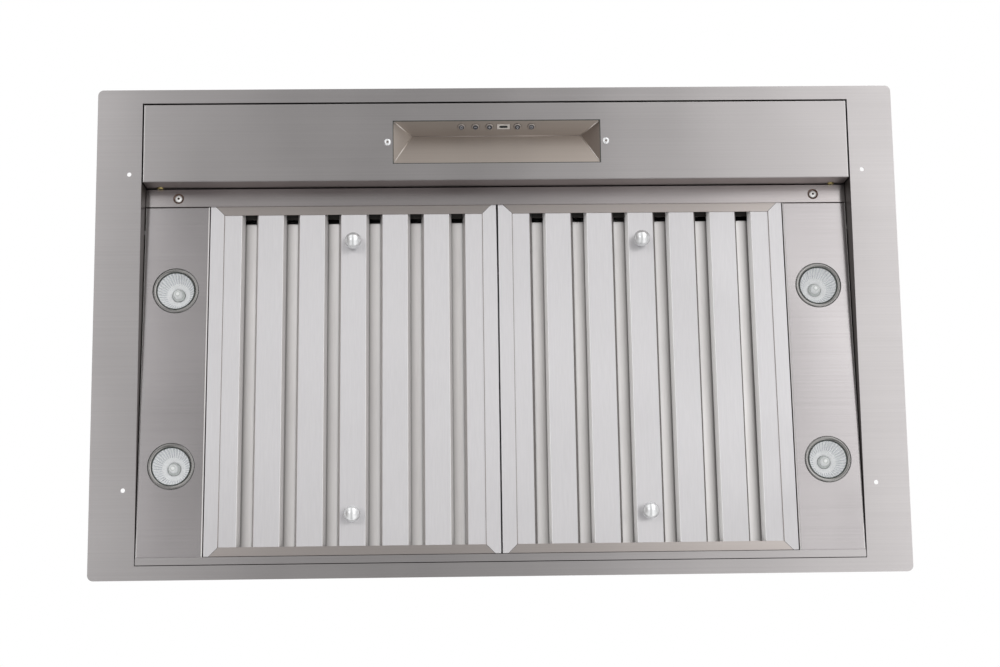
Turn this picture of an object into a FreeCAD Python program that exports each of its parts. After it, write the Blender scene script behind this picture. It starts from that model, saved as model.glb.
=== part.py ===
"""Range hood insert: flange, control tray, lamp panels, baffle filters, blower and exhaust collar.

Frame: +X to the right as seen from below with the controls on top, -Y to the cook, +Z up.
The origin is the middle of the flange's screw pattern, on the flange's upper face.
"""
import FreeCAD, Part
import os
import re
import Sketcher

# Driving dimensions, in millimetres and degrees.
SIZES = {
    # flange and housing
    "flange_width": 914.4,
    "flange_depth": 558.8,
    "flange_corner": 6.5,
    "flange_side_border": 51.2,
    "flange_end_border": 15.9,
    "upstand_height": 32,
    "sheet_gauge": 1.2,
    "bend_radius": 1.5,
    "flange_hole_radius": 2.5,
    "flange_hole_side": 37.2,
    "flange_hole_end": 99.4,
    "housing_height": 300,
    # control tray
    "panel_gap": 1.5,
    "panel_depth": 91,
    "panel_rise": 32,
    "panel_screw_inset": 15,
    "panel_screw_height": 27.5,
    # control pocket
    "pocket_length": 239,
    "pocket_width": 51,
    "pocket_inset": 20.7,
    "pocket_depth": 16.8,
    "pocket_valley_offset": 13.8,
    "pocket_valley_flat": 0.8,
    "pocket_end_run": 21.5,
    "pocket_skin": 1.6,
    "pocket_rim": 13,
    "pocket_rim_gauge": 1,
    "pocket_screw_offset": 6,
    # buttons, display and board on the pocket's front slope, at a share of its height
    "button_share": 0.42,
    "button_radius": 4.5,
    "button_pitch": 16.2,
    "button_clearance": 0.3,
    "button_proud": 1.2,
    "button_collar": 1.1,
    "button_collar_start": 2.5,
    "button_collar_thickness": 1.1,
    "button_travel": 1.5,
    "switch_clearance": 0.3,
    "switch_side": 6,
    "switch_height": 1.8,
    "display_length": 15,
    "display_width": 7,
    "display_proud": 0.4,
    "display_height": 4.4,
    "board_length": 108,
    "board_width": 18,
    "board_gauge": 1.6,
    "board_post_radius": 2,
    "board_post_inset": 3,
    # screws
    "screw_head_radius": 4.2,
    "screw_crown_radius": 3,
    "screw_head_height": 1.8,
    "screw_shank_radius": 1.7,
    "screw_shank_length": 8,
    "screw_clearance": 0.3,
    # sloped deck of header, lamp panels and filters
    "deck_front_height": 27,
    "deck_rear_height": -0.9,
    "deck_side_gap": 0.8,
    "seam_gap": 0.4,
    "header_depth": 23,
    "header_gap": 2,
    "header_rise": 18,
    "header_screw_side": 38,
    "header_screw_inset": 10,
    "header_dimple_radius": 6.2,
    "header_dimple_depth": 0.6,
    "ledge_depth": 7.2,
    "ledge_gap": 0.9,
    "ledge_rise": 24,
    "lamp_panel_width": 73.5,
    "lamp_panel_rise": 24,
    "clip_offset": 28,
    "clip_length": 5,
    "clip_height": 6,
    "clip_clearance": 0.1,
    # lamps
    "lamp_front_offset": 99.6,
    "lamp_rear_offset": 102.6,
    "lamp_window_radius": 22.8,
    "lamp_dimple_radius": 26.5,
    "lamp_dimple_depth": 0.5,
    "lens_radius": 24.5,
    "lens_thickness": 2,
    "reflector_radius": 25.2,
    "reflector_depth": 34,
    "reflector_wall": 1.2,
    "reflector_neck_radius": 8,
    "reflector_neck_height": 8,
    "capsule_radius": 4.5,
    "capsule_height": 16,
    "socket_length": 24,
    "socket_width": 15,
    "socket_height": 14,
    # baffle filters
    "filter_gap": 3,
    "filter_side_gap": 1.2,
    "filter_tuck": 7,
    "filter_rear_gap": 1.7,
    "filter_seat": 0.4,
    "filter_height": 20,
    "filter_gauge": 0.8,
    "filter_rail": 16,
    "filter_end_rail": 10,
    "baffle_grip": 5,
    "baffle_edge": 21.4,
    "baffle_slot": 18.8,
    "baffle_gauge": 0.6,
    "ridge_lean": 2.8,
    "ridge_rise": 11,
    "back_width": 17,
    "back_lean": 3.5,
    "back_seat": 0.2,
    "back_drop": 12,
    "back_setback": 6,
    "knob_radius": 9.5,
    "knob_centre_drop": 10.5,
    "knob_neck_radius": 4.5,
    "knob_front_offset": 44,
    "knob_rear_offset": 46.2,
    # blower
    "duct_offset": 40,
    "blower_width": 150,
    "scroll_neck": 25.8,
    "scroll_gauge": 1,
    "scroll_throat": 85,
    "scroll_growth": 11,
    "inlet_radius": 57,
    "impeller_radius": 68,
    "impeller_bore": 56,
    "impeller_end_gap": 6,
    "impeller_ring": 2,
    "impeller_disc": 1.5,
    "impeller_hub_radius": 12,
    "impeller_hub_length": 20,
    "blade_gauge": 0.8,
    "shaft_radius": 4,
    "shaft_length": 42,
    "shaft_clearance": 0.05,
    "motor_radius": 36,
    "motor_length": 66,
    "bracket_gauge": 2,
    "bracket_disc_radius": 30,
    "bracket_reach": 72,
    "bracket_arm_width": 14,
    # exhaust collar and damper
    "collar_radius": 100.5,
    "collar_gauge": 1,
    "collar_height": 55,
    "collar_rim": 14,
    "damper_height": 22,
    "rod_radius": 2,
    "rod_clearance": 0.06,
    "knuckle_radius": 3.2,
    "knuckle_length": 18,
    "knuckle_spacing": 56,
    "knuckle_gap": 2,
    "flap_radius": 97,
    "flap_gauge": 1,
    "flap_edge": 3.6,
    # electrical pieces under the roof
    "knockout_radius": 11.1,
    "box_length": 110,
    "box_width": 80,
    "box_height": 45,
    "box_gauge": 1,
    "box_side": 60,
    "box_front": 40,
    "transformer_length": 100,
    "transformer_width": 42,
    "transformer_height": 32,
    "capacitor_radius": 17,
    "capacitor_length": 70,
    "capacitor_side": 130,
    "capacitor_seat": 0.3,
    # every cut runs past its faces by this much
    "overrun": 5,
}
BUTTON_SLOTS = (0, 1, 2, 4, 5)
DISPLAY_SLOT = 3
SLOT_COUNT = 6
FULL_RIDGES = 5
BLADE_COUNT = 32
BRACKET_ARMS = 3
QUARTER_TURN = 90
# Two places closer than this are the same place.
HAIR = 0.001

# Sizes that follow from the driving ones. A rule names only driving sizes and rules further down.
FOLLOWING = {
    "ridge_width": "baffle_pitch - baffle_slot",
    "baffle_pitch": f"(filter_width - 2 * baffle_edge) / {FULL_RIDGES + 1}",
    "filter_width": ("opening_width / 2 - deck_side_gap - lamp_panel_width"
                     " - filter_side_gap - filter_gap / 2"),
    "header_screw_across": "opening_width - 2 * header_screw_side",
    "opening_width": "flange_width - 2 * flange_side_border",
    "opening_depth": "flange_depth - 2 * flange_end_border",
    "flange_hole_across": "flange_width - 2 * flange_hole_side",
    "flange_hole_along": "flange_depth - 2 * flange_hole_end",
    "blower_axis_height": "housing_height - sheet_gauge - scroll_throat - scroll_neck",
}

doc = FreeCAD.newDocument("range_hood")
dims = doc.addObject("Spreadsheet::Sheet", "dims")
for row, (alias, size) in enumerate(SIZES.items(), start=1):
    dims.set(f"A{row}", alias)
    dims.set(f"B{row}", str(size))
    dims.setAlias(f"B{row}", alias)
doc.recompute()
nodes = []

# Shared places, written as expressions of the driving dimensions.
TRAY_FRONT = "(panel_gap - opening_depth / 2)"
TRAY_REAR = f"({TRAY_FRONT} + panel_depth)"
SEAM = f"({TRAY_REAR} + header_depth)"
LEDGE_FRONT = "(opening_depth / 2 - ledge_gap - ledge_depth)"
DECK_ANGLE = f"atan((deck_front_height - deck_rear_height) / ({LEDGE_FRONT} - {SEAM}))"
DECK_REACH = f"(({LEDGE_FRONT} - {SEAM}) / cos({DECK_ANGLE}))"
DECK = f"placement(vector(0; {SEAM}; deck_front_height); rotation(vector(1; 0; 0); -{DECK_ANGLE}))"
DECK_OUTER = "(opening_width / 2 - deck_side_gap)"
DECK_INNER = "(filter_gap / 2 + filter_width + filter_side_gap)"
POCKET_FRONT = f"({TRAY_FRONT} + pocket_inset)"
SLOPE = (f"placement(vector(0; {POCKET_FRONT} + pocket_valley_offset * button_share; "
         "pocket_depth * button_share); "
         "rotation(vector(1; 0; 0); atan(pocket_depth / pocket_valley_offset)))")
COLLAR_REAR = "(button_collar_start + button_collar_thickness)"
BOARD_FRONT = f"({COLLAR_REAR} + button_travel + switch_clearance + switch_height)"
FILTER_BASE = "(sheet_gauge + filter_seat)"
RIDGE_BASE = f"({FILTER_BASE} + filter_gauge)"
OUTLET_DEPTH = "(scroll_throat + 3 * scroll_growth)"
BLOWER_AXIS = f"(duct_offset - {OUTLET_DEPTH} / 2)"
ROOF_TOP = "(housing_height + sheet_gauge)"
ROD_HEIGHT = f"({ROOF_TOP} + damper_height)"
SCROLL_TOP = "(housing_height - sheet_gauge)"
BOX_CENTRE = ("-opening_width / 2 + box_side + box_length / 2",
              "-opening_depth / 2 + box_front + box_width / 2")
TURN_TO_X = "rotation(vector(0; 1; 0); 90)"
TURN_TO_Y = "rotation(vector(1; 0; 0); -90)"
NO_TURN = "rotation(vector(1; 0; 0); 0)"


def spell_out(text):
    """Write an expression in driving sizes alone."""
    for name, rule in FOLLOWING.items():
        text = re.sub(rf"\b{name}\b", f"({rule})", text)
    return text


def link(text):
    """Point each size named in an expression at its cell in the sheet."""
    names = spell_out(text)
    return re.sub(r"[a-z_]+", lambda word: f"dims.{word[0]}" if word[0] in SIZES else word[0], names)


def value(text):
    """The present value of an expression."""
    return float(dims.evalExpression(spell_out(text)))


def move(made, place, turn=NO_TURN):
    x, y, z = place
    made.setExpression("Placement", link(f"placement(vector({x}; {y}; {z}); {turn})"))
    return made


def seat(made, frame):
    """Put a finished piece on the sloped deck or on the pocket's slope."""
    made.setExpression("Placement", link(frame))
    return made


def node(made, label):
    made.Label = label
    nodes.append(made)
    return made


def box(size, corner):
    made = doc.addObject("Part::Box", "block")
    for name, text in zip(("Length", "Width", "Height"), size):
        made.setExpression(name, link(text))
    return move(made, corner)


def cylinder(radius, length, place, turn=NO_TURN):
    made = doc.addObject("Part::Cylinder", "round")
    made.setExpression("Radius", link(radius))
    made.setExpression("Height", link(length))
    return move(made, place, turn)


def fuse(*pieces):
    made = doc.addObject("Part::MultiFuse", "joined")
    made.Shapes = list(pieces)
    return made


def cut(base, *tools):
    made = doc.addObject("Part::Cut", "trimmed")
    made.Base = base
    made.Tool = tools[0] if len(tools) == 1 else fuse(*tools)
    return made


def group(*pieces):
    made = doc.addObject("Part::Compound", "set")
    made.Links = list(pieces)
    return made


def sketch(body, role, offset):
    made = body.newObject("Sketcher::SketchObject", "outline")
    plane = next(feature for feature in body.Origin.OriginFeatures if feature.Role == role)
    made.AttachmentSupport = [(plane, "")]
    made.MapMode = "FlatFace"
    made.setExpression("AttachmentOffset.Base.z", link(offset))
    return made


def pin_point(outline, geometry, position, place):
    """Hold one sketch point at a pair of expressions."""
    for kind, axis, text in (("DistanceX", -2, place[0]), ("DistanceY", -1, place[1])):
        distance = value(text)
        if distance == 0:
            outline.addConstraint(Sketcher.Constraint("PointOnObject", geometry, position, axis))
        else:
            held = outline.addConstraint(Sketcher.Constraint(kind, -1, 1, geometry, position, distance))
            outline.setExpression(f"Constraints[{held}]", link(text))


def polygon(outline, points):
    first = outline.GeometryCount
    corners = [FreeCAD.Vector(value(x), value(y), 0) for x, y in points]
    for start, end in zip(corners, corners[1:] + corners[:1]):
        outline.addGeometry(Part.LineSegment(start, end), False)
    for step, point in enumerate(points):
        following = first + (step + 1) % len(points)
        outline.addConstraint(Sketcher.Constraint("Coincident", first + step, 2, following, 1))
        pin_point(outline, first + step, 1, point)


def rectangle(outline, x_span, y_span):
    left, right = x_span
    low, high = y_span
    polygon(outline, [(left, low), (right, low), (right, high), (left, high)])


def circle(outline, place, radius):
    centre = FreeCAD.Vector(value(place[0]), value(place[1]), 0)
    ring = outline.addGeometry(Part.Circle(centre, FreeCAD.Vector(0, 0, 1), value(radius)), False)
    pin_point(outline, ring, 3, place)
    held = outline.addConstraint(Sketcher.Constraint("Radius", ring, value(radius)))
    outline.setExpression(f"Constraints[{held}]", link(radius))


def pad(body, outline, length, downwards=False):
    made = body.newObject("PartDesign::Pad", "pad")
    made.Profile = outline
    made.Reversed = downwards
    made.setExpression("Length", link(length))
    return made


def pocket(body, outline, depth=None, upwards=False):
    made = body.newObject("PartDesign::Pocket", "pocket")
    made.Profile = outline
    made.Reversed = upwards
    if depth is None:
        made.Type = "ThroughAll"
    else:
        made.setExpression("Length", link(depth))
    return made


def round_edges(body, feature, radius, wanted):
    """Fillet the edges of a feature that a test picks out."""
    doc.recompute()
    names = [f"Edge{number}" for number, edge in enumerate(feature.Shape.Edges, start=1) if wanted(edge)]
    made = body.newObject("PartDesign::Fillet", "bend")
    made.Base = (feature, names)
    made.setExpression("Radius", link(radius))
    return made


def is_upright(edge):
    return edge.BoundBox.XLength < HAIR and edge.BoundBox.YLength < HAIR


def folded_tray(x_span, y_span, bottom, rise):
    """A sheet folded up on its four sides, with bent lower edges."""
    body = doc.addObject("PartDesign::Body", "tray")
    blank = sketch(body, "XY_Plane", bottom)
    rectangle(blank, x_span, y_span)
    block = pad(body, blank, rise)
    lowest = value(bottom)
    round_edges(body, block, "bend_radius", lambda edge: abs(edge.BoundBox.ZMax - lowest) < HAIR)
    hollow = sketch(body, "XY_Plane", f"{bottom} + {rise}")
    left, right = x_span
    low, high = y_span
    rectangle(hollow, (f"{left} + sheet_gauge", f"{right} - sheet_gauge"),
              (f"{low} + sheet_gauge", f"{high} - sheet_gauge"))
    pocket(body, hollow, f"{rise} - sheet_gauge")
    return body


def screw(place, turn=NO_TURN):
    """A small crowned screw whose head hangs below its seat."""
    head = doc.addObject("Part::Cone", "head")
    head.setExpression("Radius1", link("screw_crown_radius"))
    head.setExpression("Radius2", link("screw_head_radius"))
    head.setExpression("Height", link("screw_head_height"))
    move(head, ("0", "0", "-screw_head_height"))
    shank = cylinder("screw_shank_radius", "screw_shank_length", ("0", "0", "0"))
    return move(fuse(head, shank), place, turn)


def flange_frame():
    body = doc.addObject("PartDesign::Body", "flange")
    plate = sketch(body, "XY_Plane", "0")
    rectangle(plate, ("-flange_width / 2", "flange_width / 2"), ("-flange_depth / 2", "flange_depth / 2"))
    rectangle(plate, ("-opening_width / 2", "opening_width / 2"), ("-opening_depth / 2", "opening_depth / 2"))
    for x_sign in ("-", ""):
        for y_sign in ("-", ""):
            circle(plate, (f"{x_sign}flange_hole_across / 2", f"{y_sign}flange_hole_along / 2"),
                   "flange_hole_radius")
    sheet = pad(body, plate, "sheet_gauge", downwards=True)
    side = value("flange_width / 2")
    round_edges(body, sheet, "flange_corner",
                lambda edge: is_upright(edge) and abs(abs(edge.BoundBox.Center.x) - side) < HAIR)
    collar = sketch(body, "XY_Plane", "0")
    rectangle(collar, ("-opening_width / 2 - sheet_gauge", "opening_width / 2 + sheet_gauge"),
              ("-opening_depth / 2 - sheet_gauge", "opening_depth / 2 + sheet_gauge"))
    rectangle(collar, ("-opening_width / 2", "opening_width / 2"),
              ("-opening_depth / 2", "opening_depth / 2"))
    pad(body, collar, "upstand_height")
    node(body, "flange_frame")


def housing():
    """Four walls round the upstand and the roof with its duct hole and cable knockout."""
    side_size = ("sheet_gauge", "opening_depth + 2 * sheet_gauge", "housing_height")
    side_y = "-opening_depth / 2 - sheet_gauge"
    node(box(side_size, ("-opening_width / 2 - 2 * sheet_gauge", side_y, "0")), "left_side_wall")
    node(box(side_size, ("opening_width / 2 + sheet_gauge", side_y, "0")), "right_side_wall")
    end_size = ("opening_width + 4 * sheet_gauge", "sheet_gauge", "housing_height")
    end_x = "-opening_width / 2 - 2 * sheet_gauge"
    node(box(end_size, (end_x, "-opening_depth / 2 - 2 * sheet_gauge", "0")), "front_wall")
    node(box(end_size, (end_x, "opening_depth / 2 + sheet_gauge", "0")), "rear_wall")
    roof = box(("opening_width + 4 * sheet_gauge", "opening_depth + 4 * sheet_gauge", "sheet_gauge"),
               (end_x, "-opening_depth / 2 - 2 * sheet_gauge", "housing_height"))
    length = "sheet_gauge + 2 * overrun"
    duct = cylinder("collar_radius - collar_gauge", length, ("0", "duct_offset", "housing_height - overrun"))
    node(cut(roof, duct, knockout("housing_height - overrun", length)), "roof_plate")


def knockout(bottom, length):
    x, y = BOX_CENTRE
    return cylinder("knockout_radius", length, (x, y, bottom))


def pocket_screw_places():
    y = f"{POCKET_FRONT} + pocket_width / 2"
    return [(f"{sign}(pocket_length / 2 + pocket_screw_offset)", y) for sign in ("-", "")]


def control_panel():
    reach = "(opening_width / 2 - panel_gap)"
    body = folded_tray((f"-{reach}", reach), (TRAY_FRONT, TRAY_REAR), "-sheet_gauge",
                       "(sheet_gauge + panel_rise)")
    openings = sketch(body, "XY_Plane", "panel_rise")
    rectangle(openings, ("-pocket_length / 2", "pocket_length / 2"),
              (POCKET_FRONT, f"{POCKET_FRONT} + pocket_width"))
    for place in pocket_screw_places():
        circle(openings, place, "screw_shank_radius + screw_clearance")
    pocket(body, openings)
    holes = []
    for x, y, z in panel_screw_places():
        holes.append(cylinder("screw_shank_radius + screw_clearance", "sheet_gauge + 2 * overrun",
                              (x, f"{y} - sheet_gauge - overrun", z), TURN_TO_Y))
    node(cut(body, *holes), "control_panel")
    heads = [screw(place, "rotation(vector(1; 0; 0); 90)") for place in panel_screw_places()]
    node(group(*heads), "control_panel_screws")


def panel_screw_places():
    across = "(opening_width / 2 - panel_gap - panel_screw_inset)"
    return [(f"{sign}{across}", TRAY_REAR, "panel_screw_height") for sign in ("-", "")]


def pocket_wedge(grow, rise):
    """The hip shape of the pocket, grown sideways and upwards by a skin."""
    made = doc.addObject("Part::Wedge", "hip")
    places = {
        "Xmin": f"-pocket_length / 2 - {grow}",
        "Xmax": f"pocket_length / 2 + {grow}",
        "Ymin": "0",
        "Ymax": f"pocket_depth + {rise}",
        "Zmin": f"-pocket_width - {grow}",
        "Zmax": grow,
        "X2min": f"-pocket_length / 2 + pocket_end_run - {grow}",
        "X2max": f"pocket_length / 2 - pocket_end_run + {grow}",
        "Z2min": f"-pocket_valley_offset - pocket_valley_flat - {grow}",
        "Z2max": f"-pocket_valley_offset + {grow}",
    }
    for name, text in places.items():
        made.setExpression(name, link(text))
    return move(made, ("0", POCKET_FRONT, "0"), "rotation(vector(1; 0; 0); 90)")


def slot_x(slot):
    return f"({slot} - ({SLOT_COUNT} - 1) / 2) * button_pitch"


def control_pocket():
    rim = box(("pocket_length + 2 * pocket_rim", "pocket_width + 2 * pocket_rim", "pocket_rim_gauge"),
              ("-pocket_length / 2 - pocket_rim", f"{POCKET_FRONT} - pocket_rim", "0"))
    tools = [pocket_wedge("0", "0")]
    for x, y in pocket_screw_places():
        tools.append(cylinder("screw_shank_radius + screw_clearance", "pocket_rim_gauge + 2 * overrun",
                              (x, y, "-overrun")))
    bores = []
    for slot in BUTTON_SLOTS:
        bores.append(cylinder("button_radius + button_clearance", "2 * overrun",
                              (slot_x(slot), "0", "-overrun")))
    bores.append(box(("display_length + 2 * button_clearance", "display_width + 2 * button_clearance",
                      "2 * overrun"),
                     (f"{slot_x(DISPLAY_SLOT)} - display_length / 2 - button_clearance",
                      "-display_width / 2 - button_clearance", "-overrun")))
    tools.append(seat(fuse(*bores), SLOPE))
    node(cut(fuse(rim, pocket_wedge("pocket_skin", "pocket_skin")), *tools), "control_pocket")
    heads = [screw((x, y, "-sheet_gauge")) for x, y in pocket_screw_places()]
    node(group(*heads), "pocket_screws")


def controls():
    """Buttons and display on the pocket's front slope, with the board behind them."""
    for number, slot in enumerate(BUTTON_SLOTS, start=1):
        cap = cylinder("button_radius", f"button_proud + {COLLAR_REAR}", (slot_x(slot), "0", "-button_proud"))
        collar = cylinder("button_radius + button_collar", "button_collar_thickness",
                          (slot_x(slot), "0", "button_collar_start"))
        node(seat(fuse(cap, collar), SLOPE), f"button_{number}")
    window = box(("display_length", "display_width", "display_height"),
                 (f"{slot_x(DISPLAY_SLOT)} - display_length / 2", "-display_width / 2", "-display_proud"))
    node(seat(group(window), SLOPE), "display_window")
    pieces = [box(("board_length", "board_width", "board_gauge"),
                  ("-board_length / 2", "-board_width / 2", BOARD_FRONT))]
    for slot in BUTTON_SLOTS:
        pieces.append(box(("switch_side", "switch_side", "switch_height"),
                          (f"{slot_x(slot)} - switch_side / 2", "-switch_side / 2",
                           f"{BOARD_FRONT} - switch_height")))
    for sign in ("-", ""):
        pieces.append(cylinder("board_post_radius", f"{BOARD_FRONT} - button_collar_start",
                               (f"{sign}(board_length / 2 - board_post_inset)", "0", "button_collar_start")))
    node(seat(fuse(*pieces), SLOPE), "control_board")


def header():
    """The strip behind the control tray, with two recessed screws."""
    front = "-header_depth + header_gap"
    depth = "header_depth - header_gap - seam_gap / 2"
    strip = box((f"2 * {DECK_OUTER}", depth, "sheet_gauge"), (f"-{DECK_OUTER}", front, "0"))
    lip = box((f"2 * {DECK_OUTER}", "sheet_gauge", "header_rise"), (f"-{DECK_OUTER}", front, "0"))
    tools = []
    heads = []
    for sign in ("-", ""):
        x = f"{sign}header_screw_across / 2"
        tools.append(cylinder("header_dimple_radius", "header_dimple_depth + overrun",
                              (x, "-header_screw_inset", "-overrun")))
        tools.append(cylinder("screw_shank_radius + screw_clearance", "sheet_gauge + 2 * overrun",
                              (x, "-header_screw_inset", "-overrun")))
        heads.append(screw((x, "-header_screw_inset", "header_dimple_depth")))
    node(seat(cut(fuse(strip, lip), *tools), DECK), "front_header")
    node(seat(group(*heads), DECK), "header_screws")


def rear_ledge():
    strip = box((f"2 * {DECK_OUTER}", "ledge_depth", "sheet_gauge"),
                (f"-{DECK_OUTER}", LEDGE_FRONT, "-sheet_gauge"))
    wall = box((f"2 * {DECK_OUTER}", "sheet_gauge", "ledge_rise"),
               (f"-{DECK_OUTER}", f"{LEDGE_FRONT} + ledge_depth - sheet_gauge", "-sheet_gauge"))
    node(fuse(strip, wall), "rear_ledge")


def lamp_places(sign):
    x = f"{sign}({DECK_INNER} + {DECK_OUTER}) / 2"
    return {"front": (x, "lamp_front_offset"), "rear": (x, f"{DECK_REACH} - lamp_rear_offset")}


def lamp_panels():
    clips = []
    for side, sign in (("left", "-"), ("right", "")):
        spans = {"left": (f"-{DECK_OUTER}", f"-{DECK_INNER}"), "right": (DECK_INNER, DECK_OUTER)}
        body = folded_tray(spans[side], ("seam_gap / 2", f"{DECK_REACH} - seam_gap"), "0", "lamp_panel_rise")
        windows = sketch(body, "XY_Plane", "lamp_panel_rise")
        dimples = sketch(body, "XY_Plane", "0")
        for place in lamp_places(sign).values():
            circle(windows, place, "lamp_window_radius")
            circle(dimples, place, "lamp_dimple_radius")
        pocket(body, windows)
        pocket(body, dimples, "lamp_dimple_depth", upwards=True)
        node(seat(body, DECK), f"{side}_lamp_panel")
        width = "(deck_side_gap - 2 * clip_clearance)"
        middle = f"{sign}(opening_width / 2 - deck_side_gap / 2)"
        clips.append(box((width, "clip_length", "clip_height"),
                         (f"{middle} - {width} / 2", "clip_offset", "0")))
    node(seat(group(*clips), DECK), "panel_clips")


def bowl(radius, depth, place):
    made = doc.addObject("Part::Ellipsoid", "bowl")
    made.setExpression("Radius1", link(depth))
    made.setExpression("Radius2", link(radius))
    made.setExpression("Radius3", link(radius))
    made.Angle1 = 0
    return move(made, place)


def lamps():
    """Lens, reflector with its capsule, and socket for each of the four lamps."""
    for side, sign in (("left", "-"), ("right", "")):
        for row, (x, y) in lamp_places(sign).items():
            name = f"{row}_{side}_lamp"
            lens = cylinder("lens_radius", "lens_thickness", (x, y, "sheet_gauge"))
            node(seat(group(lens), DECK), f"{name}_lens")
            rim = "(sheet_gauge + lens_thickness)"
            top = f"({rim} + reflector_depth)"
            hollow = bowl("reflector_radius - reflector_wall", "reflector_depth - reflector_wall",
                          (x, y, rim))
            shell = cut(bowl("reflector_radius", "reflector_depth", (x, y, rim)), hollow)
            neck = cylinder("reflector_neck_radius", "reflector_neck_height",
                            (x, y, f"{top} - reflector_neck_height / 2"))
            capsule = cylinder("capsule_radius", "capsule_height", (x, y, f"{top} - capsule_height"))
            node(seat(fuse(shell, neck, capsule), DECK), f"{name}_reflector")
            socket = box(("socket_length", "socket_width", "socket_height"),
                         (f"{x} - socket_length / 2", f"{y} - socket_width / 2",
                          f"{top} + reflector_neck_height / 2"))
            node(seat(group(socket), DECK), f"{name}_socket")


def ridge_points(centre):
    """A front baffle: a flat face with two flanges that lean outwards."""
    half = "ridge_width / 2"
    rise = f"{RIDGE_BASE} + ridge_rise"
    inner = f"{RIDGE_BASE} + baffle_gauge"
    return [
        (f"{centre} - {half}", RIDGE_BASE), (f"{centre} + {half}", RIDGE_BASE),
        (f"{centre} + {half} + ridge_lean", rise), (f"{centre} + {half} + ridge_lean - baffle_gauge", rise),
        (f"{centre} + {half} - baffle_gauge", inner), (f"{centre} - {half} + baffle_gauge", inner),
        (f"{centre} - {half} - ridge_lean + baffle_gauge", rise), (f"{centre} - {half} - ridge_lean", rise),
    ]


def edge_points(centre, sign):
    """The part ridge beside a side rail: one flange, its flat held in the rail."""
    start = f"((({FULL_RIDGES} + 1) / 2) * baffle_pitch - ridge_width / 2)"
    end = "(filter_width / 2 - filter_rail + baffle_grip)"
    rise = f"{RIDGE_BASE} + ridge_rise"
    inner = f"{RIDGE_BASE} + baffle_gauge"
    shape = [(start, RIDGE_BASE), (end, RIDGE_BASE), (end, inner), (f"({start} + baffle_gauge)", inner),
             (f"({start} - ridge_lean + baffle_gauge)", rise), (f"({start} - ridge_lean)", rise)]
    return [(f"{centre} {sign} {x}", z) for x, z in shape]


def back_points(centre):
    """A rear baffle: a channel turned over, its flanges hanging into the front ones."""
    half = "back_width / 2"
    top = f"{RIDGE_BASE} + filter_height - 2 * filter_gauge - back_seat"
    inner = f"{top} - baffle_gauge"
    low = f"{top} - back_drop"
    return [
        (f"{centre} - {half}", top), (f"{centre} - {half} - back_lean", low),
        (f"{centre} - {half} - back_lean + baffle_gauge", low), (f"{centre} - {half} + baffle_gauge", inner),
        (f"{centre} + {half} - baffle_gauge", inner), (f"{centre} + {half} + back_lean - baffle_gauge", low),
        (f"{centre} + {half} + back_lean", low), (f"{centre} + {half}", top),
    ]


def baffles(outlines, start, length):
    """Pressed strips that run along the filter."""
    body = doc.addObject("PartDesign::Body", "strips")
    profile = sketch(body, "XZ_Plane", f"-({start})")
    for points in outlines:
        polygon(profile, points)
    pad(body, profile, length, downwards=True)
    return seat(body, DECK)


def knob(x, y):
    ball = doc.addObject("Part::Sphere", "ball")
    ball.setExpression("Radius", link("knob_radius"))
    move(ball, (x, y, f"{RIDGE_BASE} - knob_centre_drop"))
    neck = cylinder("knob_neck_radius", "knob_centre_drop", (x, y, f"{RIDGE_BASE} - knob_centre_drop"))
    return fuse(ball, neck)


def filters():
    length = f"({DECK_REACH} - filter_rear_gap + filter_tuck)"
    inner_start = "filter_end_rail"
    inner_length = f"({DECK_REACH} - filter_rear_gap - 2 * filter_end_rail)"
    for side, sign in (("left", "-"), ("right", "")):
        centre = f"{sign}(filter_gap + filter_width) / 2"
        rail_x = f"{centre} - filter_width / 2"
        blank = box(("filter_width", length, "filter_height"), (rail_x, "-filter_tuck", FILTER_BASE))
        clear = box(("filter_width - 2 * filter_rail", inner_length, "filter_height + 2 * overrun"),
                    (f"{rail_x} + filter_rail", inner_start, f"{FILTER_BASE} - overrun"))
        groove = box(("filter_width - 2 * filter_gauge", f"{length} - 2 * filter_gauge",
                      "filter_height - 2 * filter_gauge"),
                     (f"{rail_x} + filter_gauge", "-filter_tuck + filter_gauge", RIDGE_BASE))
        node(seat(cut(blank, clear, groove), DECK), f"{side}_filter_frame")
        ridges = [ridge_points(f"{centre} + ({step} - {FULL_RIDGES // 2}) * baffle_pitch")
                  for step in range(FULL_RIDGES)]
        ridges += [edge_points(centre, way) for way in ("-", "+")]
        node(baffles(ridges, f"{inner_start} - baffle_grip", f"{inner_length} + 2 * baffle_grip"),
             f"{side}_filter_front_baffles")
        backs = [back_points(f"{centre} + ({step} - {FULL_RIDGES} / 2) * baffle_pitch")
                 for step in range(FULL_RIDGES + 1)]
        node(baffles(backs, f"{inner_start} + back_setback", f"{inner_length} - back_setback + baffle_grip"),
             f"{side}_filter_rear_baffles")
        pair = [knob(centre, "knob_front_offset"), knob(centre, f"{DECK_REACH} - knob_rear_offset")]
        node(seat(group(*pair), DECK), f"{side}_filter_knobs")


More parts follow.
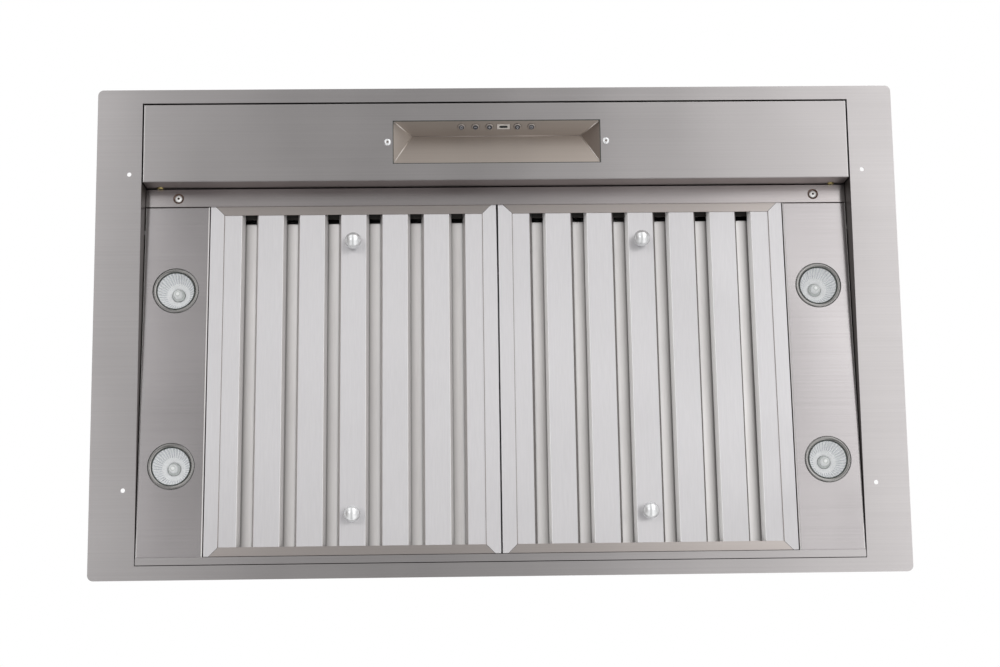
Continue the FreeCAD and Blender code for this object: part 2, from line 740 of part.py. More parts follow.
def scroll_outline(skin, inside):
    """Edges of the scroll from its tongue round to its outlet, a skin outside the air path."""
    throat, growth = value("scroll_throat"), value("scroll_growth")
    centre_y, centre_z = value(BLOWER_AXIS), value("blower_axis_height")
    top = value(SCROLL_TOP)
    arcs = []
    turns = ((centre_y, centre_z, throat, QUARTER_TURN),
             (centre_y + growth, centre_z, throat + growth, 2 * QUARTER_TURN),
             (centre_y + growth, centre_z + growth, throat + 2 * growth, 3 * QUARTER_TURN))
    for y, z, radius, start in turns:
        rim = [point_on(y, z, radius + skin, start + step) for step in (0, QUARTER_TURN / 2, QUARTER_TURN)]
        arcs.append(rim)
    if not inside:
        tongue = (throat + skin) ** 2 - skin ** 2
        arcs[0][0] = FreeCAD.Vector(0, centre_y - skin, centre_z + tongue ** 0.5)
    top_front = FreeCAD.Vector(0, arcs[0][0].y, top)
    top_rear = FreeCAD.Vector(0, arcs[-1][-1].y, top)
    edges = [Part.LineSegment(top_front, arcs[0][0])]
    edges += [Part.Arc(*rim) for rim in arcs]
    edges.append(Part.LineSegment(arcs[-1][-1], top_rear))
    return [edge.toShape() for edge in edges], top_front, top_rear


def point_on(y, z, radius, degrees):
    turned = FreeCAD.Rotation(FreeCAD.Vector(1, 0, 0), degrees).multVec(FreeCAD.Vector(0, radius, 0))
    return FreeCAD.Vector(0, y, z) + turned


def feature(shape, label):
    made = doc.addObject("Part::Feature", "shaped")
    made.Shape = shape
    return node(made, label)


def blower():
    """Scroll wrap, side plates, motor on its bracket, and the impeller on the shaft."""
    width, gauge = value("blower_width"), value("scroll_gauge")
    outer, outer_front, outer_rear = scroll_outline(gauge, inside=False)
    inner, inner_front, inner_rear = scroll_outline(0, inside=True)
    bridge = [Part.LineSegment(outer_front, inner_front).toShape(),
              Part.LineSegment(outer_rear, inner_rear).toShape()]
    wrap = Part.Face(Part.Wire(Part.__sortEdges__(outer + inner + bridge)))
    wrap.translate(FreeCAD.Vector(-width / 2, 0, 0))
    feature(wrap.extrude(FreeCAD.Vector(width, 0, 0)), "scroll_wrap")
    lid = Part.LineSegment(outer_front, outer_rear).toShape()
    plate = Part.Face(Part.Wire(Part.__sortEdges__(outer + [lid])))
    eye = FreeCAD.Vector(0, value(BLOWER_AXIS), value("blower_axis_height"))
    inlet = Part.makeCylinder(value("inlet_radius"), gauge, eye, FreeCAD.Vector(1, 0, 0))
    cheek = plate.extrude(FreeCAD.Vector(gauge, 0, 0)).cut(inlet)
    for side, x in (("left", -width / 2 - gauge), ("right", width / 2)):
        feature(cheek.translated(FreeCAD.Vector(x, 0, 0)), f"scroll_{side}_plate")
    mount_plate()
    motor_and_impeller()


def mount_plate():
    """The plate that hangs the scroll under the duct hole."""
    side = "(collar_radius + collar_rim)"
    plate = box((f"2 * {side}", f"2 * {side}", "sheet_gauge"),
                (f"-{side}", f"duct_offset - {side}", SCROLL_TOP))
    outlet = box(("blower_width", OUTLET_DEPTH, "sheet_gauge + 2 * overrun"),
                 ("-blower_width / 2", BLOWER_AXIS, f"{SCROLL_TOP} - overrun"))
    node(cut(plate, outlet), "blower_mount_plate")


def along_axis(radius, length, x):
    return cylinder(radius, length, (x, BLOWER_AXIS, "blower_axis_height"), TURN_TO_X)


def motor_and_impeller():
    seat_x = "(blower_width / 2 + scroll_gauge)"
    motor_front = f"({seat_x} - motor_length)"
    body = along_axis("motor_radius", "motor_length", motor_front)
    shaft = along_axis("shaft_radius", "shaft_length", f"{motor_front} - shaft_length")
    node(fuse(body, shaft), "blower_motor")
    pieces = [along_axis("bracket_disc_radius", "bracket_gauge", seat_x)]
    for arm in range(BRACKET_ARMS):
        bar = box(("bracket_gauge", "bracket_arm_width", "bracket_reach"),
                  ("0", "-bracket_arm_width / 2", "0"))
        pieces.append(move(group(bar), (seat_x, BLOWER_AXIS, "blower_axis_height"),
                           f"rotation(vector(1; 0; 0); {arm} * 360 / {BRACKET_ARMS})"))
    node(fuse(*pieces), "motor_bracket")
    half = "(blower_width / 2 - impeller_end_gap)"
    hub_x = f"({motor_front} - shaft_length)"
    hub = along_axis("impeller_hub_radius", "impeller_hub_length", hub_x)
    disc = along_axis("impeller_bore + blade_gauge", "impeller_disc", f"{hub_x} + impeller_hub_length / 2")
    blades = []
    for step in range(BLADE_COUNT):
        blade = box((f"2 * {half}", "blade_gauge", "impeller_radius - impeller_bore"),
                    (f"-{half}", "-blade_gauge / 2", "impeller_bore"))
        blades.append(move(group(blade), ("0", BLOWER_AXIS, "blower_axis_height"),
                           f"rotation(vector(1; 0; 0); {step} * 360 / {BLADE_COUNT})"))
    rings = []
    for x in (f"-{half}", f"{half} - impeller_ring"):
        rings.append(cut(along_axis("impeller_radius", "impeller_ring", x),
                         along_axis("impeller_bore", "impeller_ring + 2 * overrun", f"{x} - overrun")))
    bore = along_axis("shaft_radius + shaft_clearance", "impeller_hub_length + 2 * overrun",
                      f"{hub_x} - overrun")
    node(cut(fuse(hub, disc, *blades, *rings), bore), "impeller")


def flap(side):
    """Half of the butterfly damper, with two knuckles on the rod."""
    disc = cylinder("flap_radius", "flap_gauge", ("0", "0", "-flap_gauge / 2"))
    spare = box(("2 * flap_radius", "flap_radius + flap_edge", "2 * overrun"),
                ("-flap_radius", "-flap_radius", "-overrun"))
    pieces = [cut(disc, spare)]
    shift = {"front": "0", "rear": "(knuckle_length + knuckle_gap)"}[side]
    for way in ("-", ""):
        start = f"{way}knuckle_spacing / 2 + {shift} - knuckle_length / 2"
        pieces.append(cylinder("knuckle_radius", "knuckle_length", (start, "0", "0"), TURN_TO_X))
        pieces.append(box(("knuckle_length", "flap_edge + rod_radius", "flap_gauge"),
                          (start, "0", "-flap_gauge / 2")))
    bore = cylinder("rod_radius + rod_clearance", "2 * flap_radius", ("-flap_radius", "0", "0"), TURN_TO_X)
    turn = {"front": "180", "rear": "0"}[side]
    made = cut(fuse(*pieces), bore)
    move(made, ("0", "duct_offset", ROD_HEIGHT), f"rotation(vector(0; 0; 1); {turn})")
    node(made, f"{side}_damper_flap")


def exhaust():
    tube = cylinder("collar_radius", "collar_height", ("0", "duct_offset", ROOF_TOP))
    rim = cylinder("collar_radius + collar_rim", "sheet_gauge", ("0", "duct_offset", ROOF_TOP))
    bore = cylinder("collar_radius - collar_gauge", "collar_height + 2 * overrun",
                    ("0", "duct_offset", f"{ROOF_TOP} - overrun"))
    rod_hole = cylinder("rod_radius + rod_clearance", "2 * collar_radius + 2 * overrun",
                        ("-collar_radius - overrun", "duct_offset", ROD_HEIGHT), TURN_TO_X)
    node(cut(fuse(tube, rim), bore, rod_hole), "exhaust_collar")
    rod = cylinder("rod_radius", "2 * collar_radius", ("-collar_radius", "duct_offset", ROD_HEIGHT),
                   TURN_TO_X)
    node(rod, "damper_rod")
    for side in ("front", "rear"):
        flap(side)


def electrical():
    """Junction box under the knockout, lamp transformer and motor capacitor, all under the roof."""
    x, y = BOX_CENTRE
    left, front = f"{x} - box_length / 2", f"{y} - box_width / 2"
    floor = "(housing_height - box_height)"
    shell = box(("box_length", "box_width", "box_height"), (left, front, floor))
    inside = box(("box_length - 2 * box_gauge", "box_width - 2 * box_gauge",
                  "box_height - box_gauge + overrun"),
                 (f"{left} + box_gauge", f"{front} + box_gauge", f"{floor} - overrun"))
    entry = knockout("housing_height - box_gauge - overrun", "box_gauge + 2 * overrun")
    node(cut(shell, inside, entry), "junction_box")
    node(box(("box_length", "box_width", "box_gauge"), (left, front, f"{floor} - box_gauge")),
         "junction_box_lid")
    node(box(("transformer_length", "transformer_width", "transformer_height"),
             ("opening_width / 2 - box_side - transformer_length", f"{y} - transformer_width / 2",
              "housing_height - transformer_height")), "lamp_transformer")
    node(cylinder("capacitor_radius", "capacitor_length",
                  ("capacitor_side", f"{y} - capacitor_length / 2",
                   "housing_height - capacitor_radius - capacitor_seat"), TURN_TO_Y), "motor_capacitor")


def write_parts():
    doc.recompute()
    for made in doc.Objects:
        if "Invalid" in made.State or "Error" in made.State:
            raise RuntimeError(f"{made.Label} failed: {made.State}")
    for made in nodes:
        if made.Shape.isNull() or not made.Shape.isValid() or not made.Shape.Solids:
            raise RuntimeError(f"{made.Label} has no valid solid")
    os.makedirs("parts", exist_ok=True)
    for made in nodes:
        made.Shape.exportStep(os.path.join("parts", f"{made.Label}.step"))
        print(made.Label, len(made.Shape.Solids), round(made.Shape.Volume, 1))
    print(len(nodes), "nodes")


flange_frame()
housing()
control_panel()
control_pocket()
controls()
header()
rear_ledge()
lamp_panels()
lamps()
filters()
blower()
exhaust()
electrical()
write_parts()
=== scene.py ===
# %% [markdown]
# # A range hood insert, dressed for its picture
# The solids of this hood come from a construction model, and Blender gives them their looks. We keep the
# model's box straight after loading.

# %% Load the frame
import math
import bmesh
import bpy
from mathutils import Matrix, Vector


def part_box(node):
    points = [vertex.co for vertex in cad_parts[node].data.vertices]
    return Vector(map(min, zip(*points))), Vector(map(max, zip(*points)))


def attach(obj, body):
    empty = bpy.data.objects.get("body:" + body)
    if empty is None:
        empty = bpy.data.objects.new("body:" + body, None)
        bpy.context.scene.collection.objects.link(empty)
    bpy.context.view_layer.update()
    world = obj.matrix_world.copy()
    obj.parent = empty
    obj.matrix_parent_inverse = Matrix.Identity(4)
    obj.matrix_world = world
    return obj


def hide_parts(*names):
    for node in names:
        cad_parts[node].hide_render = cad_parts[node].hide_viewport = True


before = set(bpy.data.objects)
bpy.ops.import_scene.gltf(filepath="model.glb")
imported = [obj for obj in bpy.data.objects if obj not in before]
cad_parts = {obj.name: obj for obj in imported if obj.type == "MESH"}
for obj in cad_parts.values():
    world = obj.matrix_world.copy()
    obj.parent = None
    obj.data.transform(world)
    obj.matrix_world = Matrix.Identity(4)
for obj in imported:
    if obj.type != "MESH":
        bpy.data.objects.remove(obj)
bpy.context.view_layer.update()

# %% [markdown]
# ## The camera
# The picture was taken from below, a little behind the middle, so both the controls and the filters show.
# A camera could be aimed with a constraint, but a fitted turn and place come closer to the picture's view.
# The turn takes the hood's axes to the camera's, and a camera in Blender looks along its own -Z.

# %% Camera from the fitted turn
MM = 0.001
FOCAL_PIXELS = 1759
IMAGE_PIXELS = 1000
turn_x, turn_y, turn_z = -0.155725, -0.022528, -0.009427
hood_from_camera = Vector((-0.875, -7.509, 1988.088)) * MM
flange_gauge = Vector((0, 0, 1.2)) * MM
turn = Matrix.Rotation(turn_z, 3, "Z") @ Matrix.Rotation(turn_y, 3, "Y") @ Matrix.Rotation(turn_x, 3, "X")
camera_data = bpy.data.cameras.new("camera_below")
camera_data.sensor_width = 36
camera_data.lens = camera_data.sensor_width * FOCAL_PIXELS / IMAGE_PIXELS
camera = bpy.data.objects.new("camera_below", camera_data)
camera.matrix_world = (turn.transposed() @ Matrix.Diagonal((1, -1, -1))).to_4x4()
camera.location = turn.transposed() @ -hood_from_camera - flange_gauge
bpy.context.scene.collection.objects.link(camera)
bpy.context.scene.camera = camera
bpy.context.scene.view_settings.view_transform = "Standard"
print("camera at", [round(v, 3) for v in camera.location])

# %% [markdown]
# ## Node trees in a few words
# Every finish below is a small tree of shader nodes, and most of them start the same way. Writing them out
# each time would hide what differs, so a few short helpers add a node, set up a material with its main
# shader, and turn noise into a colour, a number or a bump.

# %% Helpers for node trees
NOISE_LOW, NOISE_HIGH = 0.3, 0.7


def add_node(tree, kind, **settings):
    """A new node with its properties and its input values set by name."""
    made = tree.nodes.new(kind)
    for name, setting in settings.items():
        if hasattr(made, name):
            setattr(made, name, setting)
        else:
            made.inputs[name.replace("_", " ")].default_value = setting
    return made


def new_finish(name, colour, metallic, roughness):
    """A material whose main shader has its plain values set on its own sockets."""
    material = bpy.data.materials.new(name)
    material.use_nodes = True
    shader = material.node_tree.nodes["Principled BSDF"]
    shader.inputs["Base Color"].default_value = (*colour, 1)
    shader.inputs["Metallic"].default_value = metallic
    shader.inputs["Roughness"].default_value = roughness
    return material, material.node_tree, shader


def object_noise(tree, scale, detail=2.0, stretch=(1, 1, 1)):
    """Noise on the object's own coordinates, stretched by a mapping."""
    place = add_node(tree, "ShaderNodeTexCoord")
    mapping = add_node(tree, "ShaderNodeMapping", Scale=stretch)
    noise = add_node(tree, "ShaderNodeTexNoise", Scale=scale, Detail=detail)
    tree.links.new(place.outputs["Object"], mapping.inputs["Vector"])
    tree.links.new(mapping.outputs["Vector"], noise.inputs["Vector"])
    return noise.outputs["Fac"]


def map_range(tree, start, end, low, high, **settings):
    """A node that takes the numbers from start to end to those from low to high."""
    ranged = add_node(tree, "ShaderNodeMapRange", **settings)
    for socket, number in zip(("From Min", "From Max", "To Min", "To Max"), (start, end, low, high)):
        ranged.inputs[socket].default_value = number
    return ranged


def spread(tree, source, low, high):
    """Turn a noise value, which seldom leaves its middle, into a number between low and high."""
    ranged = map_range(tree, NOISE_LOW, NOISE_HIGH, low, high)
    tree.links.new(source, ranged.inputs["Value"])
    return ranged.outputs["Result"]


def tint(tree, source, dark, light):
    """Mix two colours by a noise value."""
    mix = add_node(tree, "ShaderNodeMix", data_type="RGBA")
    colours = [socket for socket in mix.inputs if socket.type == "RGBA"]
    colours[0].default_value = (*dark, 1)
    colours[1].default_value = (*light, 1)
    tree.links.new(source, mix.inputs[0])
    return next(socket for socket in mix.outputs if socket.type == "RGBA")


def relief(tree, shader, *layers):
    """Bumps stacked on the shader's normal, each with its height, strength and depth."""
    below = None
    for height, strength, depth in layers:
        bump = add_node(tree, "ShaderNodeBump", Strength=strength, Distance=depth)
        tree.links.new(height, bump.inputs["Height"])
        if below:
            tree.links.new(below, bump.inputs["Normal"])
        below = bump.outputs["Normal"]
    tree.links.new(below, shader.inputs["Normal"])


def connect(tree, *pairs):
    """Link outputs to inputs, pair by pair."""
    for start, end in pairs:
        tree.links.new(start, end)


print("node helpers ready")

# %% [markdown]
# ## Studio light, floor and backdrop
# The picture has a plain white ground, so the world is white to the camera, to mirrors and to glass, and a
# slightly dimmer and warmer white to everything else. Brushed steel shows little but what it reflects, and
# a white room alone would leave it flat. A studio solves this with a tent of grey cloth below the object,
# and so do we.

# %% World
ROOM_LEVEL, GROUND_LEVEL = 0.95, 1.0
WARM_WHITE = (1, 0.99, 0.98, 1)
world = bpy.data.worlds.new("studio")
bpy.context.scene.world = world
world.use_nodes = True
sky = world.node_tree
sky.nodes.clear()
room = add_node(sky, "ShaderNodeBackground", Color=WARM_WHITE, Strength=ROOM_LEVEL)
white = add_node(sky, "ShaderNodeBackground", Color=(1, 1, 1, 1), Strength=GROUND_LEVEL)
ray = add_node(sky, "ShaderNodeLightPath")
mirrored = add_node(sky, "ShaderNodeMath", operation="MAXIMUM")
shown = add_node(sky, "ShaderNodeMath", operation="MAXIMUM")
choose = add_node(sky, "ShaderNodeMixShader")
out = add_node(sky, "ShaderNodeOutputWorld")
connect(
    sky,
    (ray.outputs["Is Glossy Ray"], mirrored.inputs[0]),
    (ray.outputs["Is Transmission Ray"], mirrored.inputs[1]),
    (ray.outputs["Is Camera Ray"], shown.inputs[0]),
    (mirrored.outputs["Value"], shown.inputs[1]),
    (shown.outputs["Value"], choose.inputs["Fac"]),
    (room.outputs["Background"], choose.inputs[1]),
    (white.outputs["Background"], choose.inputs[2]),
    (choose.outputs["Shader"], out.inputs["Surface"]),
)
print("white world over a room level of", ROOM_LEVEL)

# %% [markdown]
# The tent is the lower half of a large sphere. Its shade runs from left to right through a colour ramp:
# dark brown at the far left, bright on both sides of a dim middle, and dimmer again at the far right. It
# glows more towards the front, where the slopes of the control pocket look. Only mirror rays see it, so it
# changes how the metal looks and nothing else.

# %% Reflection tent
TENT_RADIUS = 6.0
TENT_LEVELS = ((0.0, 0.1), (0.2, 0.7), (0.3, 0.9), (0.39, 0.5), (0.46, 0.37), (0.53, 0.42), (0.61, 0.98),
               (0.72, 1.15), (0.82, 1.0), (1.0, 0.45))
TENT_EDGE = (0.06, 0.035, 0.025, 1)
GLOW_FRONT, GLOW_REAR, FRONT_GLOW = -0.85 * TENT_RADIUS, -2.0, 1.6
tent_mesh = bmesh.new()
bmesh.ops.create_uvsphere(tent_mesh, u_segments=64, v_segments=32, radius=TENT_RADIUS)
bmesh.ops.bisect_plane(tent_mesh, geom=tent_mesh.verts[:] + tent_mesh.edges[:] + tent_mesh.faces[:],
                       plane_co=(0, 0, 0), plane_no=(0, 0, 1), clear_outer=True)
tent_data = bpy.data.meshes.new("reflection_tent")
tent_mesh.to_mesh(tent_data)
tent_mesh.free()
tent = bpy.data.objects.new("reflection_tent", tent_data)
bpy.context.scene.collection.objects.link(tent)
for way in ("visible_camera", "visible_diffuse", "visible_transmission", "visible_shadow"):
    setattr(tent, way, False)
tent_cloth, tent_tree, _ = new_finish("tent_cloth", (0, 0, 0), 0, 1)
place = add_node(tent_tree, "ShaderNodeTexCoord")
split = add_node(tent_tree, "ShaderNodeSeparateXYZ")
across = map_range(tent_tree, -TENT_RADIUS, TENT_RADIUS, 0, 1)
along = map_range(tent_tree, GLOW_FRONT, GLOW_REAR, FRONT_GLOW, 1.0, clamp=True)
ramp = add_node(tent_tree, "ShaderNodeValToRGB")
while len(ramp.color_ramp.elements) < len(TENT_LEVELS):
    ramp.color_ramp.elements.new(0.5)
for element, (spot, level) in zip(ramp.color_ramp.elements, TENT_LEVELS):
    element.position = spot
    element.color = [level * share for share in WARM_WHITE[:3]] + [1]
ramp.color_ramp.elements[0].color = TENT_EDGE
glow = add_node(tent_tree, "ShaderNodeEmission")
connect(
    tent_tree,
    (place.outputs["Object"], split.inputs["Vector"]),
    (split.outputs["X"], across.inputs["Value"]),
    (split.outputs["Y"], along.inputs["Value"]),
    (along.outputs["Result"], glow.inputs["Strength"]),
    (across.outputs["Result"], ramp.inputs["Fac"]),
    (ramp.outputs["Color"], glow.inputs["Color"]),
    (glow.outputs["Emission"], tent_tree.nodes["Material Output"].inputs["Surface"]),
)
tent_data.materials.append(tent_cloth)
print("tent ramp has", len(TENT_LEVELS), "levels")

# %% [markdown]
# Two soft boxes below light the hood from the left and the right, nearer to its front, so that the light
# falls off towards the rear as in the picture. A third one stands above for the views from there.

# %% Lamps
def soft_lamp(name, place, target, size, watts):
    """A square soft box that faces its target."""
    data = bpy.data.lights.new(name, "AREA")
    data.shape = "SQUARE"
    data.size = size
    data.energy = watts
    lamp = bpy.data.objects.new(name, data)
    facing = (Vector(target) - Vector(place)).to_track_quat("-Z", "Y")
    lamp.matrix_world = Matrix.Translation(place) @ facing.to_matrix().to_4x4()
    bpy.context.scene.collection.objects.link(lamp)
    return lamp


middle = (0, 0, 0.1)
lamps = [
    soft_lamp("left_soft_box", (-1.6, -0.7, -2.4), middle, 1.4, 4.5),
    soft_lamp("right_soft_box", (1.7, -0.7, -2.4), middle, 1.4, 6.5),
    soft_lamp("top_soft_box", (0.5, -0.3, 3.2), middle, 2.2, 25),
]
print(len(lamps), "soft boxes")

# %% [markdown]
# The floor lies below the lowered filters. The camera of the picture is under it, so the floor's lower side
# is clear, and it only shows from above, where it keeps the hood's shadow and fades into the white ground.

# %% Floor
FLOOR_HEIGHT = -0.42
FLOOR_HALF = 4.0
FADE_START, FADE_END = 0.7, 2.4
floor_mesh = bmesh.new()
bmesh.ops.create_grid(floor_mesh, x_segments=1, y_segments=1, size=FLOOR_HALF)
bmesh.ops.translate(floor_mesh, verts=floor_mesh.verts, vec=(0, 0, FLOOR_HEIGHT))
floor_data = bpy.data.meshes.new("floor")
floor_mesh.to_mesh(floor_data)
floor_mesh.free()
floor = bpy.data.objects.new("floor", floor_data)
bpy.context.scene.collection.objects.link(floor)
for way in ("visible_diffuse", "visible_glossy", "visible_transmission", "visible_shadow"):
    setattr(floor, way, False)
floor_finish, floor_tree, floor_shader = new_finish("pale_floor", (0.86, 0.86, 0.85), 0, 0.7)
clear = add_node(floor_tree, "ShaderNodeBsdfTransparent")
side = add_node(floor_tree, "ShaderNodeNewGeometry")
place = add_node(floor_tree, "ShaderNodeTexCoord")
reach = add_node(floor_tree, "ShaderNodeVectorMath", operation="LENGTH")
fade = map_range(floor_tree, FADE_START, FADE_END, 0, 1, interpolation_type="SMOOTHSTEP")
unseen = add_node(floor_tree, "ShaderNodeMath", operation="MAXIMUM")
one_side = add_node(floor_tree, "ShaderNodeMixShader")
connect(
    floor_tree,
    (place.outputs["Object"], reach.inputs[0]),
    (reach.outputs["Value"], fade.inputs["Value"]),
    (fade.outputs["Result"], unseen.inputs[0]),
    (side.outputs["Backfacing"], unseen.inputs[1]),
    (unseen.outputs["Value"], one_side.inputs["Fac"]),
    (floor_shader.outputs["BSDF"], one_side.inputs[1]),
    (clear.outputs["BSDF"], one_side.inputs[2]),
    (one_side.outputs["Shader"], floor_tree.nodes["Material Output"].inputs["Surface"]),
)
floor_data.materials.append(floor_finish)
print("floor at", FLOOR_HEIGHT)

# %% [markdown]
# ## Brushed stainless steel
# Brushing leaves fine lines in one direction, and steel then blurs what it reflects across those lines.
# That is why the filters, brushed from front to rear, look so much brighter here than the flange, which is
# brushed from left to right. The shader's anisotropy does this once its tangent lies across the grain.
# The header and the lamp panels are glossier than the rest, so that they mirror the dark walls beside them.

# %% Brushed finish
GRAIN = {"X": (1, 240, 240), "Y": (240, 1, 240)}
LEVEL_ACROSS = {"X": (0, 1, 0), "Y": (1, 0, 0)}
UPRIGHT = (0, 0, 1)
STREAK_SHARE, PATCH_SHARE = 0.45, 0.55
GLOSS_SPREAD, ANISOTROPY = 0.05, 0.9


def brushed_steel(name, colour, grain, roughness, lines=0.05, across=None):
    """Steel brushed along one axis, with streaks, patches and a slight waviness of the sheet."""
    material, tree, shader = new_finish(name, colour, 1.0, roughness)
    streaks = object_noise(tree, 3.0, 4.0, GRAIN[grain])
    patches = object_noise(tree, 7.0, 3.0)
    waves = object_noise(tree, 5.0, 1.0)
    dark = tuple(level * (1 - lines) for level in colour)
    light = tuple(min(level * (1 + lines), 1) for level in colour)
    both = add_node(tree, "ShaderNodeMath", operation="ADD")
    tree.links.new(spread(tree, streaks, 0, STREAK_SHARE), both.inputs[0])
    tree.links.new(spread(tree, patches, 0, PATCH_SHARE), both.inputs[1])
    tree.links.new(tint(tree, both.outputs["Value"], dark, light), shader.inputs["Base Color"])
    gloss = spread(tree, patches, roughness - GLOSS_SPREAD, roughness + GLOSS_SPREAD)
    tree.links.new(gloss, shader.inputs["Roughness"])
    relief(tree, shader, (waves, 0.5, 0.004), (streaks, 0.08, 0.0003))
    shader.inputs["Anisotropic"].default_value = ANISOTROPY
    x, y, z = across or LEVEL_ACROSS[grain]
    tangent = add_node(tree, "ShaderNodeCombineXYZ", X=x, Y=y, Z=z)
    tree.links.new(tangent.outputs["Vector"], shader.inputs["Tangent"])
    return material


panel_steel = brushed_steel("panel_steel", (0.52, 0.501, 0.505), "X", 0.36, 0.07)
header_steel = brushed_steel("header_steel", (0.54, 0.509, 0.511), "X", 0.22, 0.07)
lamp_panel_steel = brushed_steel("lamp_panel_steel", (0.50, 0.478, 0.486), "X", 0.22, 0.07)
filter_steel = brushed_steel("filter_steel", (0.70, 0.691, 0.708), "Y", 0.42)
slot_painted_shade_steel = brushed_steel("slot_painted_shade_steel", (0.95, 0.93, 0.925), "Y", 0.36)
rail_steel = brushed_steel("rail_steel", (0.58, 0.535, 0.515), "X", 0.36)
side_wall_steel = brushed_steel("side_wall_steel", (0.54, 0.52, 0.527), "Y", 0.36, across=UPRIGHT)
end_wall_steel = brushed_steel("end_wall_steel", (0.54, 0.52, 0.527), "X", 0.36, across=UPRIGHT)


def dress(material, *names):
    """Give carried-over nodes a finish."""
    for name in names:
        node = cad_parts[name]
        if not node.material_slots:
            node.data.materials.append(material)
        for slot in node.material_slots:
            slot.material = material


dress(header_steel, "front_header")
dress(panel_steel, "rear_ledge", "roof_plate")
dress(side_wall_steel, "left_side_wall", "right_side_wall")
dress(end_wall_steel, "front_wall", "rear_wall")
print("steel on the panels and the housing")

# %% [markdown]
# The rear baffles only show through the slots between the front ones. Their colour gets a painted shade that
# deepens towards the outer side of each slot, and a dark painted shade along both of its edges. A few steps
# of arithmetic on the X coordinate give the distance from the middle of a slot, since the slots come at an
# even pitch and the two filters mirror each other.

# %% Rear baffles
FILTER_CENTRE, BAFFLE_PITCH = 166 * MM, 47.7 * MM
# Painted shade on the rear baffles: a fall towards the outer side of each slot, and a dark line along both of
# its edges.
SLOT_SHADE_START, SLOT_SHADE_END, SLOT_SHADE_SHARE = -3.5 * MM, 6.0 * MM, 0.8
EDGE_SHADE_START, EDGE_SHADE_END, EDGE_SHADE_SHARE = 5.0 * MM, 6.4 * MM, 0.42
SLOT_SHADE_COLOUR, SLOT_EDGE_SHADE = (0.55, 0.53, 0.52), (0.05, 0.045, 0.045)
slot_tree = slot_painted_shade_steel.node_tree
slot_shader = slot_tree.nodes["Principled BSDF"]
slot_colour = slot_shader.inputs["Base Color"].links[0].from_socket
place = add_node(slot_tree, "ShaderNodeTexCoord")
split = add_node(slot_tree, "ShaderNodeSeparateXYZ")
slot_tree.links.new(place.outputs["Object"], split.inputs["Vector"])
distance = split.outputs["X"]
for operation, number in (
    ("ABSOLUTE", 0), ("SUBTRACT", FILTER_CENTRE), ("DIVIDE", BAFFLE_PITCH), ("FRACT", 0),
    ("SUBTRACT", 0.5), ("MULTIPLY", BAFFLE_PITCH),
):
    step = add_node(slot_tree, "ShaderNodeMath", operation=operation)
    step.inputs[1].default_value = number
    slot_tree.links.new(distance, step.inputs[0])
    distance = step.outputs["Value"]
either_way = add_node(slot_tree, "ShaderNodeMath", operation="ABSOLUTE")
slot_tree.links.new(distance, either_way.inputs[0])
for reach, start, end, share, shade in (
    (distance, SLOT_SHADE_START, SLOT_SHADE_END, SLOT_SHADE_SHARE, SLOT_SHADE_COLOUR),
    (either_way.outputs["Value"], EDGE_SHADE_START, EDGE_SHADE_END, EDGE_SHADE_SHARE, SLOT_EDGE_SHADE),
):
    edge = map_range(slot_tree, start, end, 0, share)
    slot_tree.links.new(reach, edge.inputs["Value"])
    shaded = tint(slot_tree, edge.outputs["Result"], shade, shade)
    slot_tree.links.new(slot_colour, next(socket for socket in shaded.node.inputs if socket.type == "RGBA"))
    slot_colour = shaded
slot_tree.links.new(slot_colour, slot_shader.inputs["Base Color"])
dress(slot_painted_shade_steel, "left_filter_rear_baffles", "right_filter_rear_baffles")
print("rear baffles shaded at a pitch of", BAFFLE_PITCH)

# %% [markdown]
# ## Filter frames with mitred corners
# Each filter is framed by a folded rail whose corners are cut at 45 degrees. The side rails are brushed along
# the filter and the end rails across it, so the mitre shows as a change of shade. We copy the frame's mesh,
# merge its loose triangles, cut it along the mitre planes and pick a finish for each face by where it lies.
# The hollow of the rail gets a near black painted shade, and a thin line marks the rail's folded edge. Where
# the two filters meet, each rail gets a small lip, which narrows the gap between them.

# %% Deck and filter helpers
SEAM_Y, DECK_Z, DECK_TILT = -148 * MM, 27 * MM, math.radians(3.956)
deck = Matrix.Translation((0, SEAM_Y, DECK_Z)) @ Matrix.Rotation(-DECK_TILT, 4, "X")
to_deck = deck.inverted()
HAIR = 0.01 * MM


def merged(node_name):
    """A welded copy of a node's mesh, with its flat faces whole again and no stored normals."""
    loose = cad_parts[node_name].data.copy()
    stored = loose.attributes.get("custom_normal")
    if stored:
        loose.attributes.remove(stored)
    shape = bmesh.new()
    shape.from_mesh(loose)
    bpy.data.meshes.remove(loose)
    bmesh.ops.remove_doubles(shape, verts=shape.verts, dist=HAIR)
    bmesh.ops.dissolve_limit(shape, angle_limit=math.radians(0.5), verts=shape.verts, edges=shape.edges)
    for face in shape.faces:
        face.smooth = False
    return shape


def piece(name, shape, body, slot, *materials, smooth=False):
    """Turn a bmesh into an object that rides on a body."""
    data = bpy.data.meshes.new(name)
    shape.normal_update()
    shape.to_mesh(data)
    shape.free()
    for material in materials:
        data.materials.append(material)
    if smooth:
        data.shade_smooth()
    made = bpy.data.objects.new(name, data)
    bpy.context.scene.collection.objects.link(made)
    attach(made, body)
    return made


def dim_finish(name, colour, roughness):
    """A dark finish for seams and for the painted shade in hollows, mottled by dust and grease."""
    material, tree, shader = new_finish(name, colour, 0, roughness)
    dust = object_noise(tree, 60.0, 3.0)
    pale = tuple(level * 1.5 for level in colour)
    tree.links.new(tint(tree, spread(tree, dust, 0, 1), colour, pale), shader.inputs["Base Color"])
    return material


seam_shadow = dim_finish("seam_shadow", (0.025, 0.021, 0.02), 0.8)
# The rail's hollow is painted near black, a painted shade.
painted_hollow_shade = dim_finish("painted_hollow_shade", (0.03, 0.027, 0.025), 0.7)
rail_fold = dim_finish("rail_fold", (0.17, 0.14, 0.13), 0.6)
print("deck tilt", round(math.degrees(DECK_TILT), 2))

